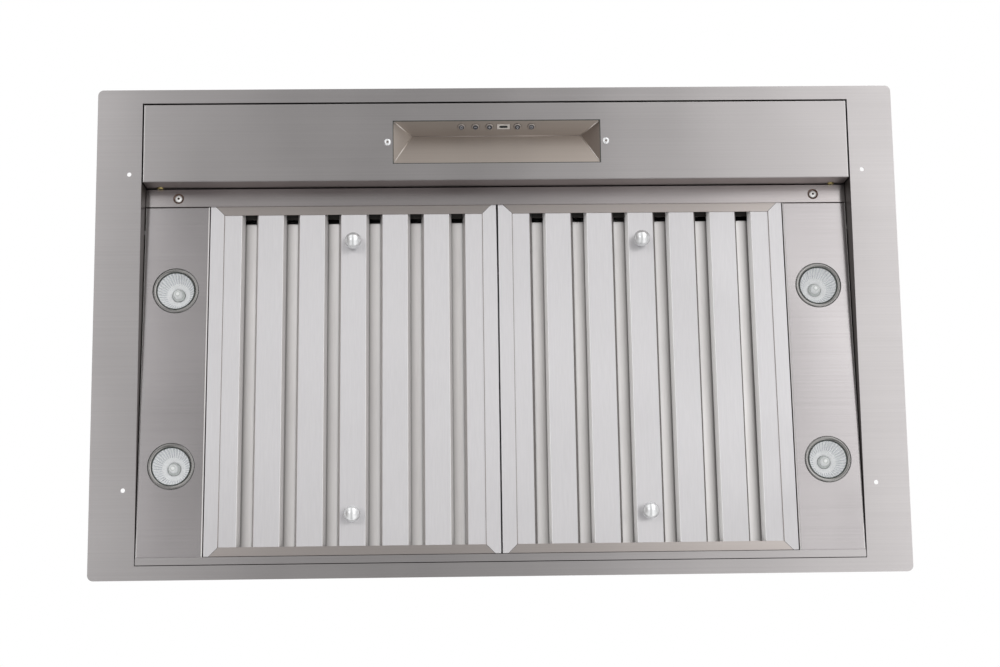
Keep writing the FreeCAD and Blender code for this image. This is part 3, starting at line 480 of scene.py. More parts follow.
# %% Mitred frames
SIDE_RAIL, END_RAIL = 16 * MM, 10 * MM
FILTER_END, FILTER_TUCK = 402.66 * MM, 7 * MM
HOLLOW_LOW, HOLLOW_HIGH = 2.3 * MM, 20.9 * MM
SEAM_WIDTH, FOLD_WIDTH = 0.2 * MM, 0.5 * MM
LIP, RAIL_WALL = 0.6 * MM, 0.4 * MM
FLAT = 0.01


def mitred_frame(hand):
    """A filter's frame, cut along its mitres, with a finish for each face."""
    shape = merged(f"{hand}_filter_frame")
    low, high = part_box(f"{hand}_filter_frame")
    for x, side in ((low.x + SIDE_RAIL, 1), (high.x - SIDE_RAIL, -1)):
        for y, end in ((END_RAIL, -1), (FILTER_END - END_RAIL, 1)):
            spot = deck @ Vector((x, y, 0))
            facing = deck.to_3x3() @ Vector((side, end, 0))
            bmesh.ops.bisect_plane(shape, geom=shape.verts[:] + shape.edges[:] + shape.faces[:], dist=HAIR,
                                   plane_co=spot, plane_no=facing)
        bmesh.ops.bisect_plane(shape, geom=shape.verts[:] + shape.edges[:] + shape.faces[:], dist=HAIR,
                               plane_co=(x - side * FOLD_WIDTH, 0, 0), plane_no=(1, 0, 0))
    lead = SIDE_RAIL - END_RAIL
    for face in shape.faces:
        spot = to_deck @ face.calc_center_median()
        inwards = min(spot.x - low.x, high.x - spot.x)
        along = min(spot.y, FILTER_END - spot.y)
        face.material_index = 1 if along + lead < inwards else 0
    mitres = [edge for edge in shape.edges
              if len(edge.link_faces) == 2 and edge.calc_face_angle(1) < FLAT
              and edge.link_faces[0].material_index != edge.link_faces[1].material_index]
    grooves = bmesh.ops.bevel(shape, geom=mitres, offset=SEAM_WIDTH, affect="EDGES", segments=1, profile=0.5,
                              material=-1)
    for face in grooves["faces"]:
        face.material_index = 2
    for face in shape.faces:
        spot = to_deck @ face.calc_center_median()
        depth = min(spot.x - low.x, high.x - spot.x, spot.y + FILTER_TUCK, FILTER_END - spot.y)
        if HOLLOW_LOW < spot.z < HOLLOW_HIGH and depth > RAIL_WALL:
            face.material_index = 3
        elif (spot.z < HOLLOW_LOW and depth > SIDE_RAIL - FOLD_WIDTH
              and END_RAIL < spot.y < FILTER_END - END_RAIL):
            face.material_index = 4
    seam_side, to_seam = (high.x, 1) if hand == "left" else (low.x, -1)
    for vert in shape.verts:
        if abs(vert.co.x - seam_side) < HAIR and (to_deck @ vert.co).z < HOLLOW_LOW:
            vert.co.x += to_seam * LIP
    made = piece(f"{hand}_mitred_frame", shape, f"{hand}_filter", "filter_steel", filter_steel, rail_steel,
                 seam_shadow, painted_hollow_shade, rail_fold)
    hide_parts(f"{hand}_filter_frame")
    print(made.name, len(made.data.polygons), "faces,", len(grooves["faces"]), "on the mitres")


for hand in ("left", "right"):
    mitred_frame(hand)

# %% [markdown]
# ## Baffles with pressed bends
# The baffles are strips pressed into channels, and a press leaves a small radius at each bend, which is where
# they catch the light. Bevelling every edge would also round the cut ends, so only the long edges next to a
# ridge's flat are bevelled. On the side of a ridge that faces the middle of the hood the bends get a near
# white painted highlight and the walls are satin, and the outer side gets a painted shade. Walls and shaded
# sides have their own painted tint on each filter, which stands in for the light and shade that each filter
# gets.

# %% Rounded baffles
BEND = 1.6 * MM
BEND_ZONE = 3.2 * MM
LONG_EDGE = 300 * MM
BEND_LEAN = 0.15


def satin_steel(name, colour, metallic, roughness=0.42):
    """Brushed steel that scatters part of the light, with a colour that paints the highlight and shade of
    bends and pressed walls.
    """
    material = brushed_steel(name, colour, "Y", roughness)
    material.node_tree.nodes["Principled BSDF"].inputs["Metallic"].default_value = metallic
    return material


# Painted light on the baffles: a near white highlight on the inner bends, and on each filter its own painted
# shade on the outer side and painted tint on the walls.
ridge_bend_painted_highlight = satin_steel("ridge_bend_painted_highlight", (0.95, 0.945, 0.955), 0.15)
bend_painted_shade = {"left": satin_steel("left_bend_dull", (0.62, 0.60, 0.595), 0.8),
             "right": satin_steel("right_bend_dull", (0.27, 0.255, 0.25), 0.8)}
painted_wall_light = {"left": satin_steel("left_ridge_wall", (0.69, 0.67, 0.665), 0.15),
              "right": satin_steel("right_ridge_wall", (0.98, 0.96, 0.955), 0.15)}


def pressed_strips(hand, outwards):
    """A filter's front baffles with rounded bends, whose painted highlights, shades and tints are chosen by
    the way each face leans.
    """
    shape = merged(f"{hand}_filter_front_baffles")
    bends = []
    for edge in shape.edges:
        ends = [to_deck @ vert.co for vert in edge.verts]
        if abs(ends[0].y - ends[1].y) > LONG_EDGE and all(end.z < BEND_ZONE for end in ends):
            bends.append(edge)
    rounded = bmesh.ops.bevel(shape, geom=bends, offset=BEND, affect="EDGES", segments=4, profile=0.5,
                              material=-1, clamp_overlap=True)
    bent = set(rounded["faces"])
    for face in shape.faces:
        lean = face.normal.x * outwards
        if lean > BEND_LEAN:
            face.material_index = 2
        elif lean < -BEND_LEAN:
            face.material_index = 1 if face in bent else 3
    made = piece(f"{hand}_front_pressed_strips", shape, f"{hand}_filter", "filter_steel", filter_steel,
                 ridge_bend_painted_highlight, bend_painted_shade[hand], painted_wall_light[hand])
    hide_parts(f"{hand}_filter_front_baffles")
    print(made.name, len(bends), "bends,", len(made.data.polygons), "faces")


for hand, outwards in (("left", -1), ("right", 1)):
    pressed_strips(hand, outwards)

# %% [markdown]
# ## Flange, tray and lamp panels with painted shade on the walls
# Only the faces that show are brushed. The walls folded up inside get a dark painted shade, which frames the
# deck with a thin dark line. The bends at the sides of a sheet get a painted highlight, lighter than its
# face. A copy of each mesh takes all three finishes, chosen by where a face looks, and the lamp panels are
# made the same way.

# %% Flange and tray
OPENING_X, OPENING_Y, TRAY_REAR = 406 * MM, 263.5 * MM, -171 * MM
# Painted shade on the inner walls of flange, tray and lamp panels, and a painted highlight on the side bends.
upstand_painted_shade = brushed_steel("upstand_painted_shade", (0.11, 0.102, 0.098), "X", 0.36, across=UPRIGHT)
panel_wall_painted_shade = brushed_steel("panel_wall_painted_shade", (0.33, 0.29, 0.285), "X", 0.4, across=UPRIGHT)
sheet_bend_painted_highlight = satin_steel("sheet_bend_painted_highlight", (0.70, 0.69, 0.685), 0.35, 0.45)
# A bend leans sideways and down between these parts of its normal, and a wall hardly looks up or down.
BEND_LEAST, BEND_MOST, BEND_DOWN, WALL_LEVEL = 0.25, 0.95, -0.2, 0.5


def folded_sheet(name, node_name, face_steel, wall_steel, is_shaded_wall):
    """A copy of a node with a painted highlight on its side bends and a painted shade on the walls that a
    test picks out.
    """
    shape = merged(node_name)
    for face in shape.faces:
        if BEND_LEAST < abs(face.normal.x) < BEND_MOST and face.normal.z < BEND_DOWN:
            face.material_index = 2
        elif abs(face.normal.z) < WALL_LEVEL and is_shaded_wall(face.calc_center_median()):
            face.material_index = 1
    counts = [sum(face.material_index == index for face in shape.faces) for index in range(3)]
    made = piece(name, shape, "hood", "stainless", face_steel, wall_steel, sheet_bend_painted_highlight)
    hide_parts(node_name)
    print(made.name, counts, "brushed, plain and bent faces")


folded_sheet("brushed_flange", "flange_frame", panel_steel, upstand_painted_shade,
             lambda spot: abs(spot.x) < OPENING_X + HAIR and abs(spot.y) < OPENING_Y + HAIR)
folded_sheet("brushed_tray", "control_panel", panel_steel, panel_wall_painted_shade,
             lambda spot: abs(spot.y - TRAY_REAR) < HAIR)
for hand in ("left", "right"):
    folded_sheet(f"{hand}_lamp_plate", f"{hand}_lamp_panel", lamp_panel_steel, panel_wall_painted_shade,
                 lambda spot: True)

# %% [markdown]
# ## Turned pieces
# Knobs, screw heads, lamp rings and reflectors are all round, as if they came off a lathe.
# Blender's screw modifier could make them, but a spin gives a finished mesh straight from half an outline.
# A spin can leave a shape inside out, so its doubles are merged and its normals recalculated afterwards.

# %% Spin helpers
def spun(outline, steps=48, ring=False):
    """Spin (radius, height) points in millimetres about the local Z axis."""
    shape = bmesh.new()
    points = [shape.verts.new((radius * MM, 0, height * MM)) for radius, height in outline]
    ends = points[1:] + points[:1] if ring else points[1:]
    edges = [shape.edges.new(pair) for pair in zip(points, ends)]
    bmesh.ops.spin(shape, geom=points + edges, cent=(0, 0, 0), axis=(0, 0, 1), angle=2 * math.pi, steps=steps,
                   use_merge=True)
    bmesh.ops.remove_doubles(shape, verts=shape.verts, dist=HAIR)
    bmesh.ops.recalc_face_normals(shape, faces=shape.faces)
    return shape


def put(shape, place):
    """Move a finished shape to its place."""
    bmesh.ops.transform(shape, matrix=place, verts=shape.verts)
    return shape


def joined(shapes):
    """One bmesh from several, with their finishes kept."""
    whole = bmesh.new()
    for shape in shapes:
        part = bpy.data.meshes.new("part")
        shape.to_mesh(part)
        shape.free()
        whole.from_mesh(part)
        bpy.data.meshes.remove(part)
    return whole


def at(x, y, z):
    """A place in the hood's own frame, in millimetres."""
    return Matrix.Translation(Vector((x, y, z)) * MM)


def on_deck(x, y, z=0):
    """A place on the sloping deck, in millimetres."""
    return deck @ at(x, y, z)


DECK_REACH = 404.36
SIDES = (-1, 1)
print("deck reaches", DECK_REACH, "mm")

# %% [markdown]
# ## Bright metal for small parts
# Knobs and screws are plated, not brushed, so they need a smooth metal with only faint smears. A plain
# glossy shader would look like a toy, and a little noise in colour and gloss is enough to avoid that.

# %% Plated metals
def plated(name, colour, roughness, wear=0.08, metallic=1.0):
    """Smooth metal with smears in its colour and gloss."""
    material, tree, shader = new_finish(name, colour, metallic, roughness)
    smears = object_noise(tree, 90.0, 3.0)
    dark = tuple(level * (1 - wear) for level in colour)
    tree.links.new(tint(tree, spread(tree, smears, 0, 1), dark, colour), shader.inputs["Base Color"])
    tree.links.new(spread(tree, smears, roughness * 0.8, roughness * 1.3), shader.inputs["Roughness"])
    return material


chrome = plated("polished_chrome", (0.80, 0.80, 0.81), 0.07)
knob_chrome = plated("knob_chrome", (0.87, 0.885, 0.90), 0.16, 0.05, 0.6)
dull_socket = plated("dull_socket", (0.36, 0.31, 0.285), 0.4, 0.2)
yellow_zinc = plated("yellow_zinc", (0.62, 0.52, 0.22), 0.3, 0.2)
dark_socket = plated("dark_socket", (0.10, 0.085, 0.075), 0.4, 0.3)
satin_zinc = plated("satin_zinc", (0.93, 0.93, 0.92), 0.35, 0.04, 0.45)
cup_metal = plated("browned_cup", (0.17, 0.115, 0.095), 0.3, 0.35)
pressed_rim = plated("pressed_rim", (0.31, 0.305, 0.30), 0.25)
print("plated metals ready")

# %% [markdown]
# ## Filter knobs
# Each filter is pulled out by two chrome balls on short necks. The solid has the ball and its neck, and
# here the ball gets a fine outline and a small foot where it meets the baffle.

# %% Ball knobs
BALL_RADIUS, BALL_CENTRE = 9.5, -8.1
KNOB_X, KNOB_FRONT, KNOB_REAR = 166, 44, DECK_REACH - 46.2
NECK_ANGLE, BALL_STEPS = 152, 18
KNOB_FOOT = [(4.3, 0.9), (5.2, 1.5), (5.8, 2.0), (5.8, 2.35), (0, 2.35)]


def ball_knob():
    """A ball on its neck, with a foot where it meets the baffle."""
    outline = []
    for step in range(BALL_STEPS + 1):
        angle = math.radians(NECK_ANGLE * step / BALL_STEPS)
        outline.append((BALL_RADIUS * math.sin(angle), BALL_CENTRE - BALL_RADIUS * math.cos(angle)))
    return spun(outline + KNOB_FOOT)


for hand, sign in (("left", -1), ("right", 1)):
    balls = [put(ball_knob(), on_deck(sign * KNOB_X, y)) for y in (KNOB_FRONT, KNOB_REAR)]
    made = piece(f"{hand}_ball_knobs", joined(balls), f"{hand}_filter", "chrome", knob_chrome, smooth=True)
    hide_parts(f"{hand}_filter_knobs")
    print(made.name, len(made.data.polygons), "faces")

# %% [markdown]
# ## Screws
# The screws that show have rounded heads with a socket. Their heads are spun from half an outline that dips
# into the socket, and the faces inside it get a dark finish, because grease and shadow collect there. The
# two pocket screws look brighter in the picture, so their sockets get a lighter finish.

# %% Screw heads
SOCKET_RADIUS, SOCKET_FLOOR = 1.3, -0.7
HEAD_OUTLINE = [(0, SOCKET_FLOOR), (1.2, SOCKET_FLOOR), (SOCKET_RADIUS, -1.65), (1.55, -1.8), (2.5, -1.68),
                (3.4, -1.3), (3.95, -0.7), (4.2, 0), (1.7, 0), (1.7, 8), (0, 8)]
HEADER_SCREW_X, HEADER_SCREW_Y, HEADER_SINK = 368, -10, 0.6
POCKET_SCREW_X, POCKET_SCREW_Y, TRAY_FACE = 125.5, -215.8, -1.2
PANEL_SCREW_X, PANEL_SCREW_Y, PANEL_SCREW_Z = 389.5, -171, 27.5


def screw_head():
    """A rounded head with its socket and the start of its shank."""
    shape = spun(HEAD_OUTLINE, steps=32)
    for face in shape.faces:
        centre = face.calc_center_median() / MM
        face.material_index = 1 if centre.xy.length < SOCKET_RADIUS and centre.z < 0 else 0
    return shape


faces_rear = Matrix.Rotation(math.radians(90), 4, "X")
screw_sets = {
    "header_screws": ([on_deck(side * HEADER_SCREW_X, HEADER_SCREW_Y, HEADER_SINK) for side in SIDES],
                      satin_zinc, dark_socket, "chrome"),
    "pocket_screws": ([at(side * POCKET_SCREW_X, POCKET_SCREW_Y, TRAY_FACE) for side in SIDES],
                      knob_chrome, dull_socket, "chrome"),
    "control_panel_screws": ([at(side * PANEL_SCREW_X, PANEL_SCREW_Y, PANEL_SCREW_Z) @ faces_rear
                              for side in SIDES], yellow_zinc, dark_socket, "galvanised"),
}
for name, (places, finish, socket_finish, slot) in screw_sets.items():
    heads = [put(screw_head(), place) for place in places]
    made = piece(f"{name}_heads", joined(heads), "hood", slot, finish, socket_finish, smooth=True)
    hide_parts(name)
    print(made.name, len(made.data.polygons), "faces")

# %% [markdown]
# The two header screws sit in small browned cups pressed into the strip. A ring spun from a closed outline
# makes such a cup, with its slope facing the screw.

# %% Header cups
CUP_OUTLINE = [(6.15, 0.55), (6.15, 0), (5.9, -0.15), (5.4, -0.05), (4.8, 0.3), (4.3, 0.5), (4.3, 0.55)]
cups = [put(spun(CUP_OUTLINE, 40, True), on_deck(side * HEADER_SCREW_X, HEADER_SCREW_Y)) for side in SIDES]
made = piece("header_screw_cups", joined(cups), "hood", "chrome", cup_metal, smooth=True)
print(made.name, len(made.data.polygons), "faces")

# %% [markdown]
# ## Lamps
# Each lamp is a small reflector bulb behind a cover glass, held by a pressed rim with a dark gasket inside
# it. The gasket, and a thin dark ring just outside the rim, also paint the shade in the gaps there. The
# reflector has a bowl with radial flutes: we spin a plain bowl and draw every second column of points
# inwards. One flank of each flute gets a dimmer copy of the mirror, a painted shade, so the flutes still read
# from far away. The frosted capsule in the middle is spun too, with a rounded tip.

# %% Lamp finishes
mirror = plated("reflector_mirror", (0.98, 0.99, 1.0), 0.3, 0.01, 0.05)
# The dimmer copy of the mirror is a painted shade on one flank of each flute.
mirror_painted_shade = plated("reflector_shaded_flank", (0.71, 0.73, 0.76), 0.3, 0.03, 0.05)
# The gasket's dark finish also paints the shade in the gaps round the lamp glass and round the pocket.
gasket_and_gap_shade, gasket_tree, gasket_shader = new_finish("gasket_and_gap_shade", (0.03, 0.04, 0.035), 0, 0.5)
relief(gasket_tree, gasket_shader, (object_noise(gasket_tree, 700.0), 0.2, 0.0002))
lens_glass, lens_tree, lens_shader = new_finish("lens_glass", (0.9, 0.95, 0.95), 0, 0.03)
lens_shader.inputs["Alpha"].default_value = 0.03
film = spread(lens_tree, object_noise(lens_tree, 120.0, 3.0), 0.01, 0.06)
lens_tree.links.new(film, lens_shader.inputs["Roughness"])


def moulded_glass(name, colour):
    """Frosted glass with a slightly uneven skin."""
    material, tree, shader = new_finish(name, colour, 0, 0.3)
    relief(tree, shader, (object_noise(tree, 400.0), 0.2, 0.0003))
    return material


capsule_frost = moulded_glass("capsule_frost", (0.92, 0.93, 0.93))
capsule_shade = moulded_glass("capsule_shade", (0.66, 0.69, 0.67))
print("lamp finishes ready")

# %% Lamp rings and reflectors
LAMP_X, LAMP_FRONT, LAMP_REAR = 368.45, 99.6, DECK_REACH - 102.6
FLUTE_STEPS, FLUTE_DEPTH, FLUTE_END = 76, 0.95, 12.5 * MM
BOWL_STEPS, BOWL_ANGLE = 9, 71
INNER_RADIUS, INNER_DEPTH = 23.8, 22.0
OUTER_RADIUS, OUTER_DEPTH = 25.1, 33.9
RIM_HEIGHT, NECK_HEIGHT, PLAIN_RIM = 3.3, 40.8, 0.5
RING_STEPS = 64
FOOT_START, TIP_RING_START, TIP_RING_END = 5.2, 2.2, 3.6


def bowl_wall(radius, depth):
    """Points along part of an ellipse, from the rim towards the neck."""
    angles = [math.radians(BOWL_ANGLE * step / BOWL_STEPS) for step in range(BOWL_STEPS + 1)]
    return [(radius * math.cos(angle), RIM_HEIGHT + depth * math.sin(angle)) for angle in angles]


def fluted_reflector():
    """A bowl with its outer shell, whose inner wall is drawn into flutes."""
    wall = bowl_wall(INNER_RADIUS, INNER_DEPTH)
    shell = bowl_wall(OUTER_RADIUS, OUTER_DEPTH)
    neck = [(wall[-1][0], NECK_HEIGHT), (shell[-1][0], NECK_HEIGHT)]
    shape = spun(wall + neck + shell[::-1], steps=FLUTE_STEPS, ring=True)
    low, high = (RIM_HEIGHT + PLAIN_RIM) * MM, wall[-1][1] * MM
    for vert in shape.verts:
        column = round(math.atan2(vert.co.y, vert.co.x) / (2 * math.pi / FLUTE_STEPS))
        if column % 2 and low < vert.co.z < high and vert.co.xy.length > FLUTE_END:
            vert.co.x *= FLUTE_DEPTH
            vert.co.y *= FLUTE_DEPTH
    for face in shape.faces:
        spot = face.calc_center_median()
        flank = math.floor(math.atan2(spot.y, spot.x) / (2 * math.pi / FLUTE_STEPS)) % 2
        face.material_index = flank if spot.xy.length > FLUTE_END else 0
    return shape


def capsule():
    """The bulb's capsule, with a dim foot and a dim ring round its tip."""
    shape = spun(CAPSULE_OUTLINE, 32)
    for face in shape.faces:
        radius = face.calc_center_median().xy.length / MM
        face.material_index = 1 if radius > FOOT_START or TIP_RING_START < radius < TIP_RING_END else 0
    return shape


RIM_OUTLINE = [(25.9, 0.48), (25.8, 0), (25.4, -0.5), (24.7, -0.7), (23.6, -0.55), (22.6, -0.1), (22.1, 0.3),
               (22.1, 0.48)]
GASKET_OUTLINE = [(22.7, 0.55), (22.7, 1.15), (20.7, 1.15), (20.75, 0.8), (21.4, 0.55)]
# The outer ring only paints the shade in the gap outside the rim.
OUTER_SHADE_RING = [(26.35, 0.1), (26.35, 0.49), (26.05, 0.49), (26.05, 0.1)]
CAPSULE_OUTLINE = [(0, 13.0), (1.8, 13.2), (3.3, 13.9), (4.4, 15.2), (4.8, 17), (4.8, 22), (6.6, 22.4),
                   (7.2, 23.4), (7.2, 26), (0, 26)]
for hand, sign in (("left", -1), ("right", 1)):
    for row, y in (("front", LAMP_FRONT), ("rear", LAMP_REAR)):
        name = f"{row}_{hand}_lamp"
        place = on_deck(sign * LAMP_X, y)
        piece(f"{name}_rim", put(spun(RIM_OUTLINE, RING_STEPS, True), place), "hood", "stainless",
              pressed_rim, smooth=True)
        seals = joined([spun(outline, RING_STEPS, True) for outline in (GASKET_OUTLINE, OUTER_SHADE_RING)])
        piece(f"{name}_gasket", put(seals, place), "hood", "component", gasket_and_gap_shade)
        bowl = piece(f"{name}_fluted_bowl", put(fluted_reflector(), place), "hood", "reflector", mirror,
                     mirror_painted_shade)
        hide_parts(f"{name}_reflector")
        piece(f"{name}_capsule", put(capsule(), place), "hood", "glass", capsule_frost, capsule_shade,
              smooth=True)
        dress(lens_glass, f"{name}_lens")
print("four lamps with", FLUTE_STEPS // 2, "flutes each")

# %% [markdown]
# ## Control pocket
# The controls sit in a pocket with the shape of a hipped roof, in a warmer tone than the tray. Its four hips
# carry painted highlights as fine bright lines, and the valley a dimmer one. Bevelled edges would pull on the
# button holes, so a thin rod lies along each of these lines instead.

# %% Pocket and its painted crease highlights
POCKET_FRONT, POCKET_LENGTH, POCKET_WIDTH, POCKET_DEPTH = -241.3, 239, 51, 16.8
VALLEY_OFFSET, VALLEY_FLAT, END_RUN = 13.8, 0.8, 21.5
BEAD_RADIUS = 0.5
pocket_steel = brushed_steel("pocket_steel", (0.54, 0.48, 0.435), "X", 0.34)
# Painted highlights on the pocket's hips, and a dimmer one on its valley.
crease_painted_highlight = plated("crease_painted_highlight", (0.78, 0.75, 0.72), 0.3)
valley_painted_highlight = plated("valley_painted_highlight", (0.44, 0.40, 0.375), 0.45)
dress(pocket_steel, "control_pocket")


def rod(start, end, radius):
    """A round rod between two points, in millimetres."""
    line = Vector(end) - Vector(start)
    shape = bmesh.new()
    bmesh.ops.create_cone(shape, cap_ends=True, segments=12, radius1=radius * MM, radius2=radius * MM,
                          depth=line.length * MM)
    middle = (Vector(start) + Vector(end)) / 2 * MM
    return put(shape, Matrix.Translation(middle) @ line.to_track_quat("Z", "Y").to_matrix().to_4x4())


valley_x, valley_y = POCKET_LENGTH / 2 - END_RUN, POCKET_FRONT + VALLEY_OFFSET + VALLEY_FLAT / 2
valley = rod((-valley_x, valley_y, POCKET_DEPTH), (valley_x, valley_y, POCKET_DEPTH), BEAD_RADIUS)
for face in valley.faces:
    face.material_index = 1
crease_highlights = [valley]
for side in SIDES:
    for y in (POCKET_FRONT, POCKET_FRONT + POCKET_WIDTH):
        corner = (side * POCKET_LENGTH / 2, y, 0)
        crease_highlights.append(rod(corner, (side * valley_x, valley_y, POCKET_DEPTH), BEAD_RADIUS))
made = piece("pocket_welds", joined(crease_highlights), "hood", "stainless", crease_painted_highlight, valley_painted_highlight, smooth=True)
print(made.name, len(made.data.polygons), "faces")

# %% [markdown]
# Between the tray and the pocket lies a thin dark seal, which also paints the shade in the gap between them.
# It starts as one rectangle, whose inset leaves a frame.

# %% Pocket seal
SEAL_WIDTH, SEAL_TOP, SEAL_DROP = 0.8 * MM, -0.15 * MM, 0.85 * MM
SEAL_PLAY = 0.05
shape = bmesh.new()
half = Vector((POCKET_LENGTH / 2 - SEAL_PLAY, POCKET_WIDTH / 2 - SEAL_PLAY, 1)) * MM
bmesh.ops.create_grid(shape, x_segments=1, y_segments=1, size=1)
bmesh.ops.scale(shape, vec=(half.x, half.y, 1), verts=shape.verts)
bmesh.ops.translate(shape, vec=(0, (POCKET_FRONT + POCKET_WIDTH / 2) * MM, SEAL_TOP), verts=shape.verts)
rims = bmesh.ops.inset_region(shape, faces=shape.faces[:], thickness=SEAL_WIDTH, use_boundary=True,
                              use_even_offset=True)
window = [face for face in shape.faces if face not in rims["faces"]]
bmesh.ops.delete(shape, geom=window, context="FACES")
raised = bmesh.ops.extrude_face_region(shape, geom=shape.faces[:])
lower = [item for item in raised["geom"] if isinstance(item, bmesh.types.BMVert)]
bmesh.ops.translate(shape, vec=(0, 0, -SEAL_DROP), verts=lower)
bmesh.ops.recalc_face_normals(shape, faces=shape.faces)
made = piece("pocket_seal", shape, "hood", "component", gasket_and_gap_shade)
print(made.name, len(made.data.polygons), "faces")

# %% [markdown]
# ## Buttons and display
# Five round push buttons and a small display lie on the pocket's front slope. The caps are spun, with
# rounded rims and a dark inlay, and each inlay carries a plain sign of its own: on and off, slower, faster,
# light and timer. The signs are generic, built from bars and rings a tenth of a millimetre thick, so they
# also show from close up.

# %% Button finishes
def moulded(name, colour, roughness):
    """Moulded plastic with a fine grain."""
    material, tree, shader = new_finish(name, colour, 0, roughness)
    cloud = object_noise(tree, 45.0, 3.0)
    dark = tuple(level * 0.85 for level in colour)
    tree.links.new(tint(tree, spread(tree, cloud, 0, 1), dark, colour), shader.inputs["Base Color"])
    tree.links.new(spread(tree, cloud, roughness - 0.05, roughness + 0.08), shader.inputs["Roughness"])
    relief(tree, shader, (object_noise(tree, 1500.0), 0.15, 0.0001))
    return material


cap_steel = plated("button_rim", (0.46, 0.42, 0.39), 0.36)
inlay_dark = moulded("button_inlay", (0.035, 0.036, 0.045), 0.35)
sign_pale = moulded("button_sign", (0.42, 0.42, 0.44), 0.5)
bezel_pale = moulded("display_bezel", (0.50, 0.47, 0.44), 0.35)
pane_dark = moulded("display_pane", (0.02, 0.024, 0.026), 0.12)
print("button finishes ready")

# %% Button caps
SLOPE_ANGLE = math.atan2(POCKET_DEPTH, VALLEY_OFFSET)
BUTTON_SHARE = 0.42
slope = at(0, POCKET_FRONT + BUTTON_SHARE * VALLEY_OFFSET, BUTTON_SHARE * POCKET_DEPTH)
slope = slope @ Matrix.Rotation(SLOPE_ANGLE, 4, "X")
INLAY_RADIUS, CAP_FACE, SIGN_FACE = 3.1, -1.1, -1.2
CAP_OUTLINE = [(0, CAP_FACE), (INLAY_RADIUS, CAP_FACE), (INLAY_RADIUS + 0.1, -1.2), (3.9, -1.1), (4.35, -0.8),
               (4.5, -0.4), (4.5, 2.5), (5.6, 2.5), (5.6, 3.6), (0, 3.6)]
SIGN_DEPTH = 0.1


def bar(width, height, x=0, y=0):
    """A flat bar of a sign."""
    shape = bmesh.new()
    bmesh.ops.create_cube(shape, size=1)
    bmesh.ops.scale(shape, vec=Vector((width, height, SIGN_DEPTH)) * MM, verts=shape.verts)
    return put(shape, at(x, y, CAP_FACE - SIGN_DEPTH / 2))


def hoop(radius, width):
    """A flat ring of a sign."""
    inner = radius - width
    return spun([(radius, CAP_FACE), (radius, SIGN_FACE), (inner, SIGN_FACE), (inner, CAP_FACE)], 24, True)


SIGNS = {
    1: lambda: [hoop(1.7, 0.4), bar(0.45, 1.6, 0, -1.3)],
    2: lambda: [bar(3.0, 0.6)],
    3: lambda: [bar(3.0, 0.6), bar(0.6, 3.0)],
    4: lambda: [hoop(1.3, 0.5), bar(1.0, 0.9, 0, 1.7)],
    5: lambda: [hoop(1.9, 0.4), bar(0.4, 1.3, 0, -0.6), bar(1.1, 0.4, 0.5, 0)],
}
BUTTON_X = (-40.5, -24.3, -8.1, 24.3, 40.5)
for number, x in enumerate(BUTTON_X, start=1):
    cap = spun(CAP_OUTLINE, 32)
    for face in cap.faces:
        centre = face.calc_center_median() / MM
        face.material_index = 1 if centre.xy.length < INLAY_RADIUS and centre.z < 0 else 0
    marks = joined(SIGNS[number]())
    for face in marks.faces:
        face.material_index = 2
    shape = put(joined([cap, marks]), slope @ at(x, 0, 0))
    made = piece(f"button_{number}_cap", shape, f"button_{number}", "button", cap_steel, inlay_dark,
                 sign_pale)
    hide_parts(f"button_{number}")
print(len(BUTTON_X), "buttons with signs")

# %% Display
BEZEL_SIZE, BEZEL_CORNER, BEZEL_EDGE = (15, 7, 4.4), (0.6, -3.5, -0.4), 0.4
PANE_SIZE, PANE_CORNER, PANE_EDGE = (9.6, 3.0, 0.5), (3.3, -1.7, -0.55), 1.4


def rounded_block(size, corner, bevel, upright_only=False):
    """A block with softened edges, from its lowest corner."""
    shape = bmesh.new()
    bmesh.ops.create_cube(shape, size=1)
    bmesh.ops.scale(shape, vec=Vector(size) * MM, verts=shape.verts)
    bmesh.ops.translate(shape, vec=(Vector(corner) + Vector(size) / 2) * MM, verts=shape.verts)
    chosen = [edge for edge in shape.edges
              if not upright_only or abs(edge.verts[0].co.z - edge.verts[1].co.z) > HAIR]
    bmesh.ops.bevel(shape, geom=chosen, offset=bevel * MM, affect="EDGES", segments=4, profile=0.5,
                    material=-1)
    return shape


bezel = rounded_block(BEZEL_SIZE, BEZEL_CORNER, BEZEL_EDGE)
pane = rounded_block(PANE_SIZE, PANE_CORNER, PANE_EDGE, upright_only=True)
for face in pane.faces:
    face.material_index = 1
made = piece("display_block", put(joined([bezel, pane]), slope), "hood", "display", bezel_pale, pane_dark)
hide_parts("display_window")
print(made.name, len(made.data.polygons), "faces")

# %% [markdown]
# ## Zinc, paint and plastic inside the housing
# Blower, collar and boxes are made of zinc coated sheet, whose crystals show as pale and dark patches. A
# Voronoi texture has just such cells, and its random colour per cell gives each crystal its own shade.

# %% Inside finishes
def zinc_sheet(name, colour, crystals):
    """Zinc coated sheet with crystals of slightly different shade."""
    material, tree, shader = new_finish(name, colour, 0.9, 0.4)
    place = add_node(tree, "ShaderNodeTexCoord")
    cells = add_node(tree, "ShaderNodeTexVoronoi", Scale=crystals)
    shade = add_node(tree, "ShaderNodeSeparateColor")
    tree.links.new(place.outputs["Object"], cells.inputs["Vector"])
    tree.links.new(cells.outputs["Color"], shade.inputs["Color"])
    dark = tuple(level * 0.8 for level in colour)
    light = tuple(min(level * 1.12, 1) for level in colour)
    tree.links.new(tint(tree, shade.outputs["Red"], dark, light), shader.inputs["Base Color"])
    tree.links.new(spread(tree, shade.outputs["Green"], 0.32, 0.46), shader.inputs["Roughness"])
    relief(tree, shader, (object_noise(tree, 25.0, 3.0), 0.1, 0.001))
    return material


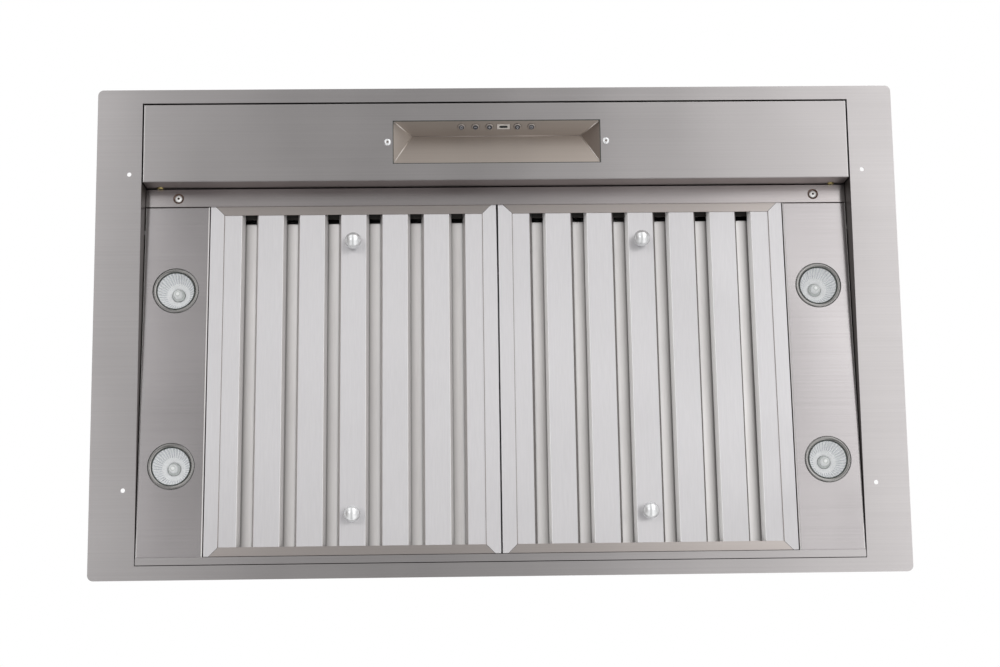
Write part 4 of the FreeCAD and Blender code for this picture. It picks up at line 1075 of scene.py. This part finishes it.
zinc = zinc_sheet("zinc_sheet", (0.56, 0.57, 0.58), 90.0)
dress(zinc, "blower_mount_plate", "damper_rod", "front_damper_flap", "rear_damper_flap", "impeller",
      "junction_box", "junction_box_lid", "motor_bracket", "scroll_left_plate", "scroll_right_plate",
      "scroll_wrap")
dress(chrome, "panel_clips")
ceramic = moulded("socket_ceramic", (0.72, 0.69, 0.62), 0.55)
dress(ceramic, *[f"{row}_{hand}_lamp_socket" for row in ("front", "rear") for hand in ("left", "right")])
dress(moulded("board_lacquer", (0.03, 0.16, 0.07), 0.35), "control_board")
dress(moulded("motor_paint", (0.05, 0.05, 0.055), 0.45), "blower_motor")
dress(moulded("transformer_case", (0.06, 0.06, 0.065), 0.5), "lamp_transformer")
dress(moulded("capacitor_case", (0.5, 0.5, 0.5), 0.4), "motor_capacitor")
print("inside pieces dressed")

# %% [markdown]
# ## Ledge nose
# The rear ledge ends in a small folded nose, so that hardly any gap shows between it and the filters. It
# stops short of the arc on which a filter's rear edge swings down.

# %% Ledge nose
LEDGE_FRONT, LEDGE_HALF = 255.4, 405
NOSE_DEPTH, NOSE_HEIGHT, NOSE_LOW, NOSE_EDGE = 0.9, 1.1, -1.15, 0.3
nose = rounded_block((2 * LEDGE_HALF, NOSE_DEPTH + NOSE_EDGE, NOSE_HEIGHT),
                     (-LEDGE_HALF, LEDGE_FRONT - NOSE_DEPTH, NOSE_LOW), NOSE_EDGE)
made = piece("ledge_nose", nose, "hood", "stainless", panel_steel)
print(made.name, len(made.data.polygons), "faces")

# %% [markdown]
# ## Exhaust collar
# A duct slides over the collar on the roof. Such collars are rolled from sheet and have a bead near the top
# that stops the duct clamp from slipping. The bead is part of the outline, so one spin makes foot, wall and
# bead.

# %% Beaded collar
ROOF_TOP, COLLAR_Y = 301.2, 40
COLLAR_OUTLINE = [(114.5, 0), (114.5, 1.2), (102.2, 1.2), (101.0, 1.7), (100.5, 3.0), (100.5, 40),
                  (101.2, 41.2), (102.4, 42), (103, 43.5), (102.4, 45), (101.2, 45.8), (100.5, 47),
                  (100.5, 55), (99.5, 55), (99.5, 47), (100.2, 45.4), (101.6, 44.4), (102, 43.5),
                  (101.6, 42.6), (100.2, 41.6), (99.5, 40), (99.5, 0)]
shape = put(spun(COLLAR_OUTLINE, 96, True), at(0, COLLAR_Y, ROOF_TOP))
made = piece("beaded_collar", shape, "hood", "galvanised", zinc)
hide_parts("exhaust_collar")
print(made.name, len(made.data.polygons), "faces")
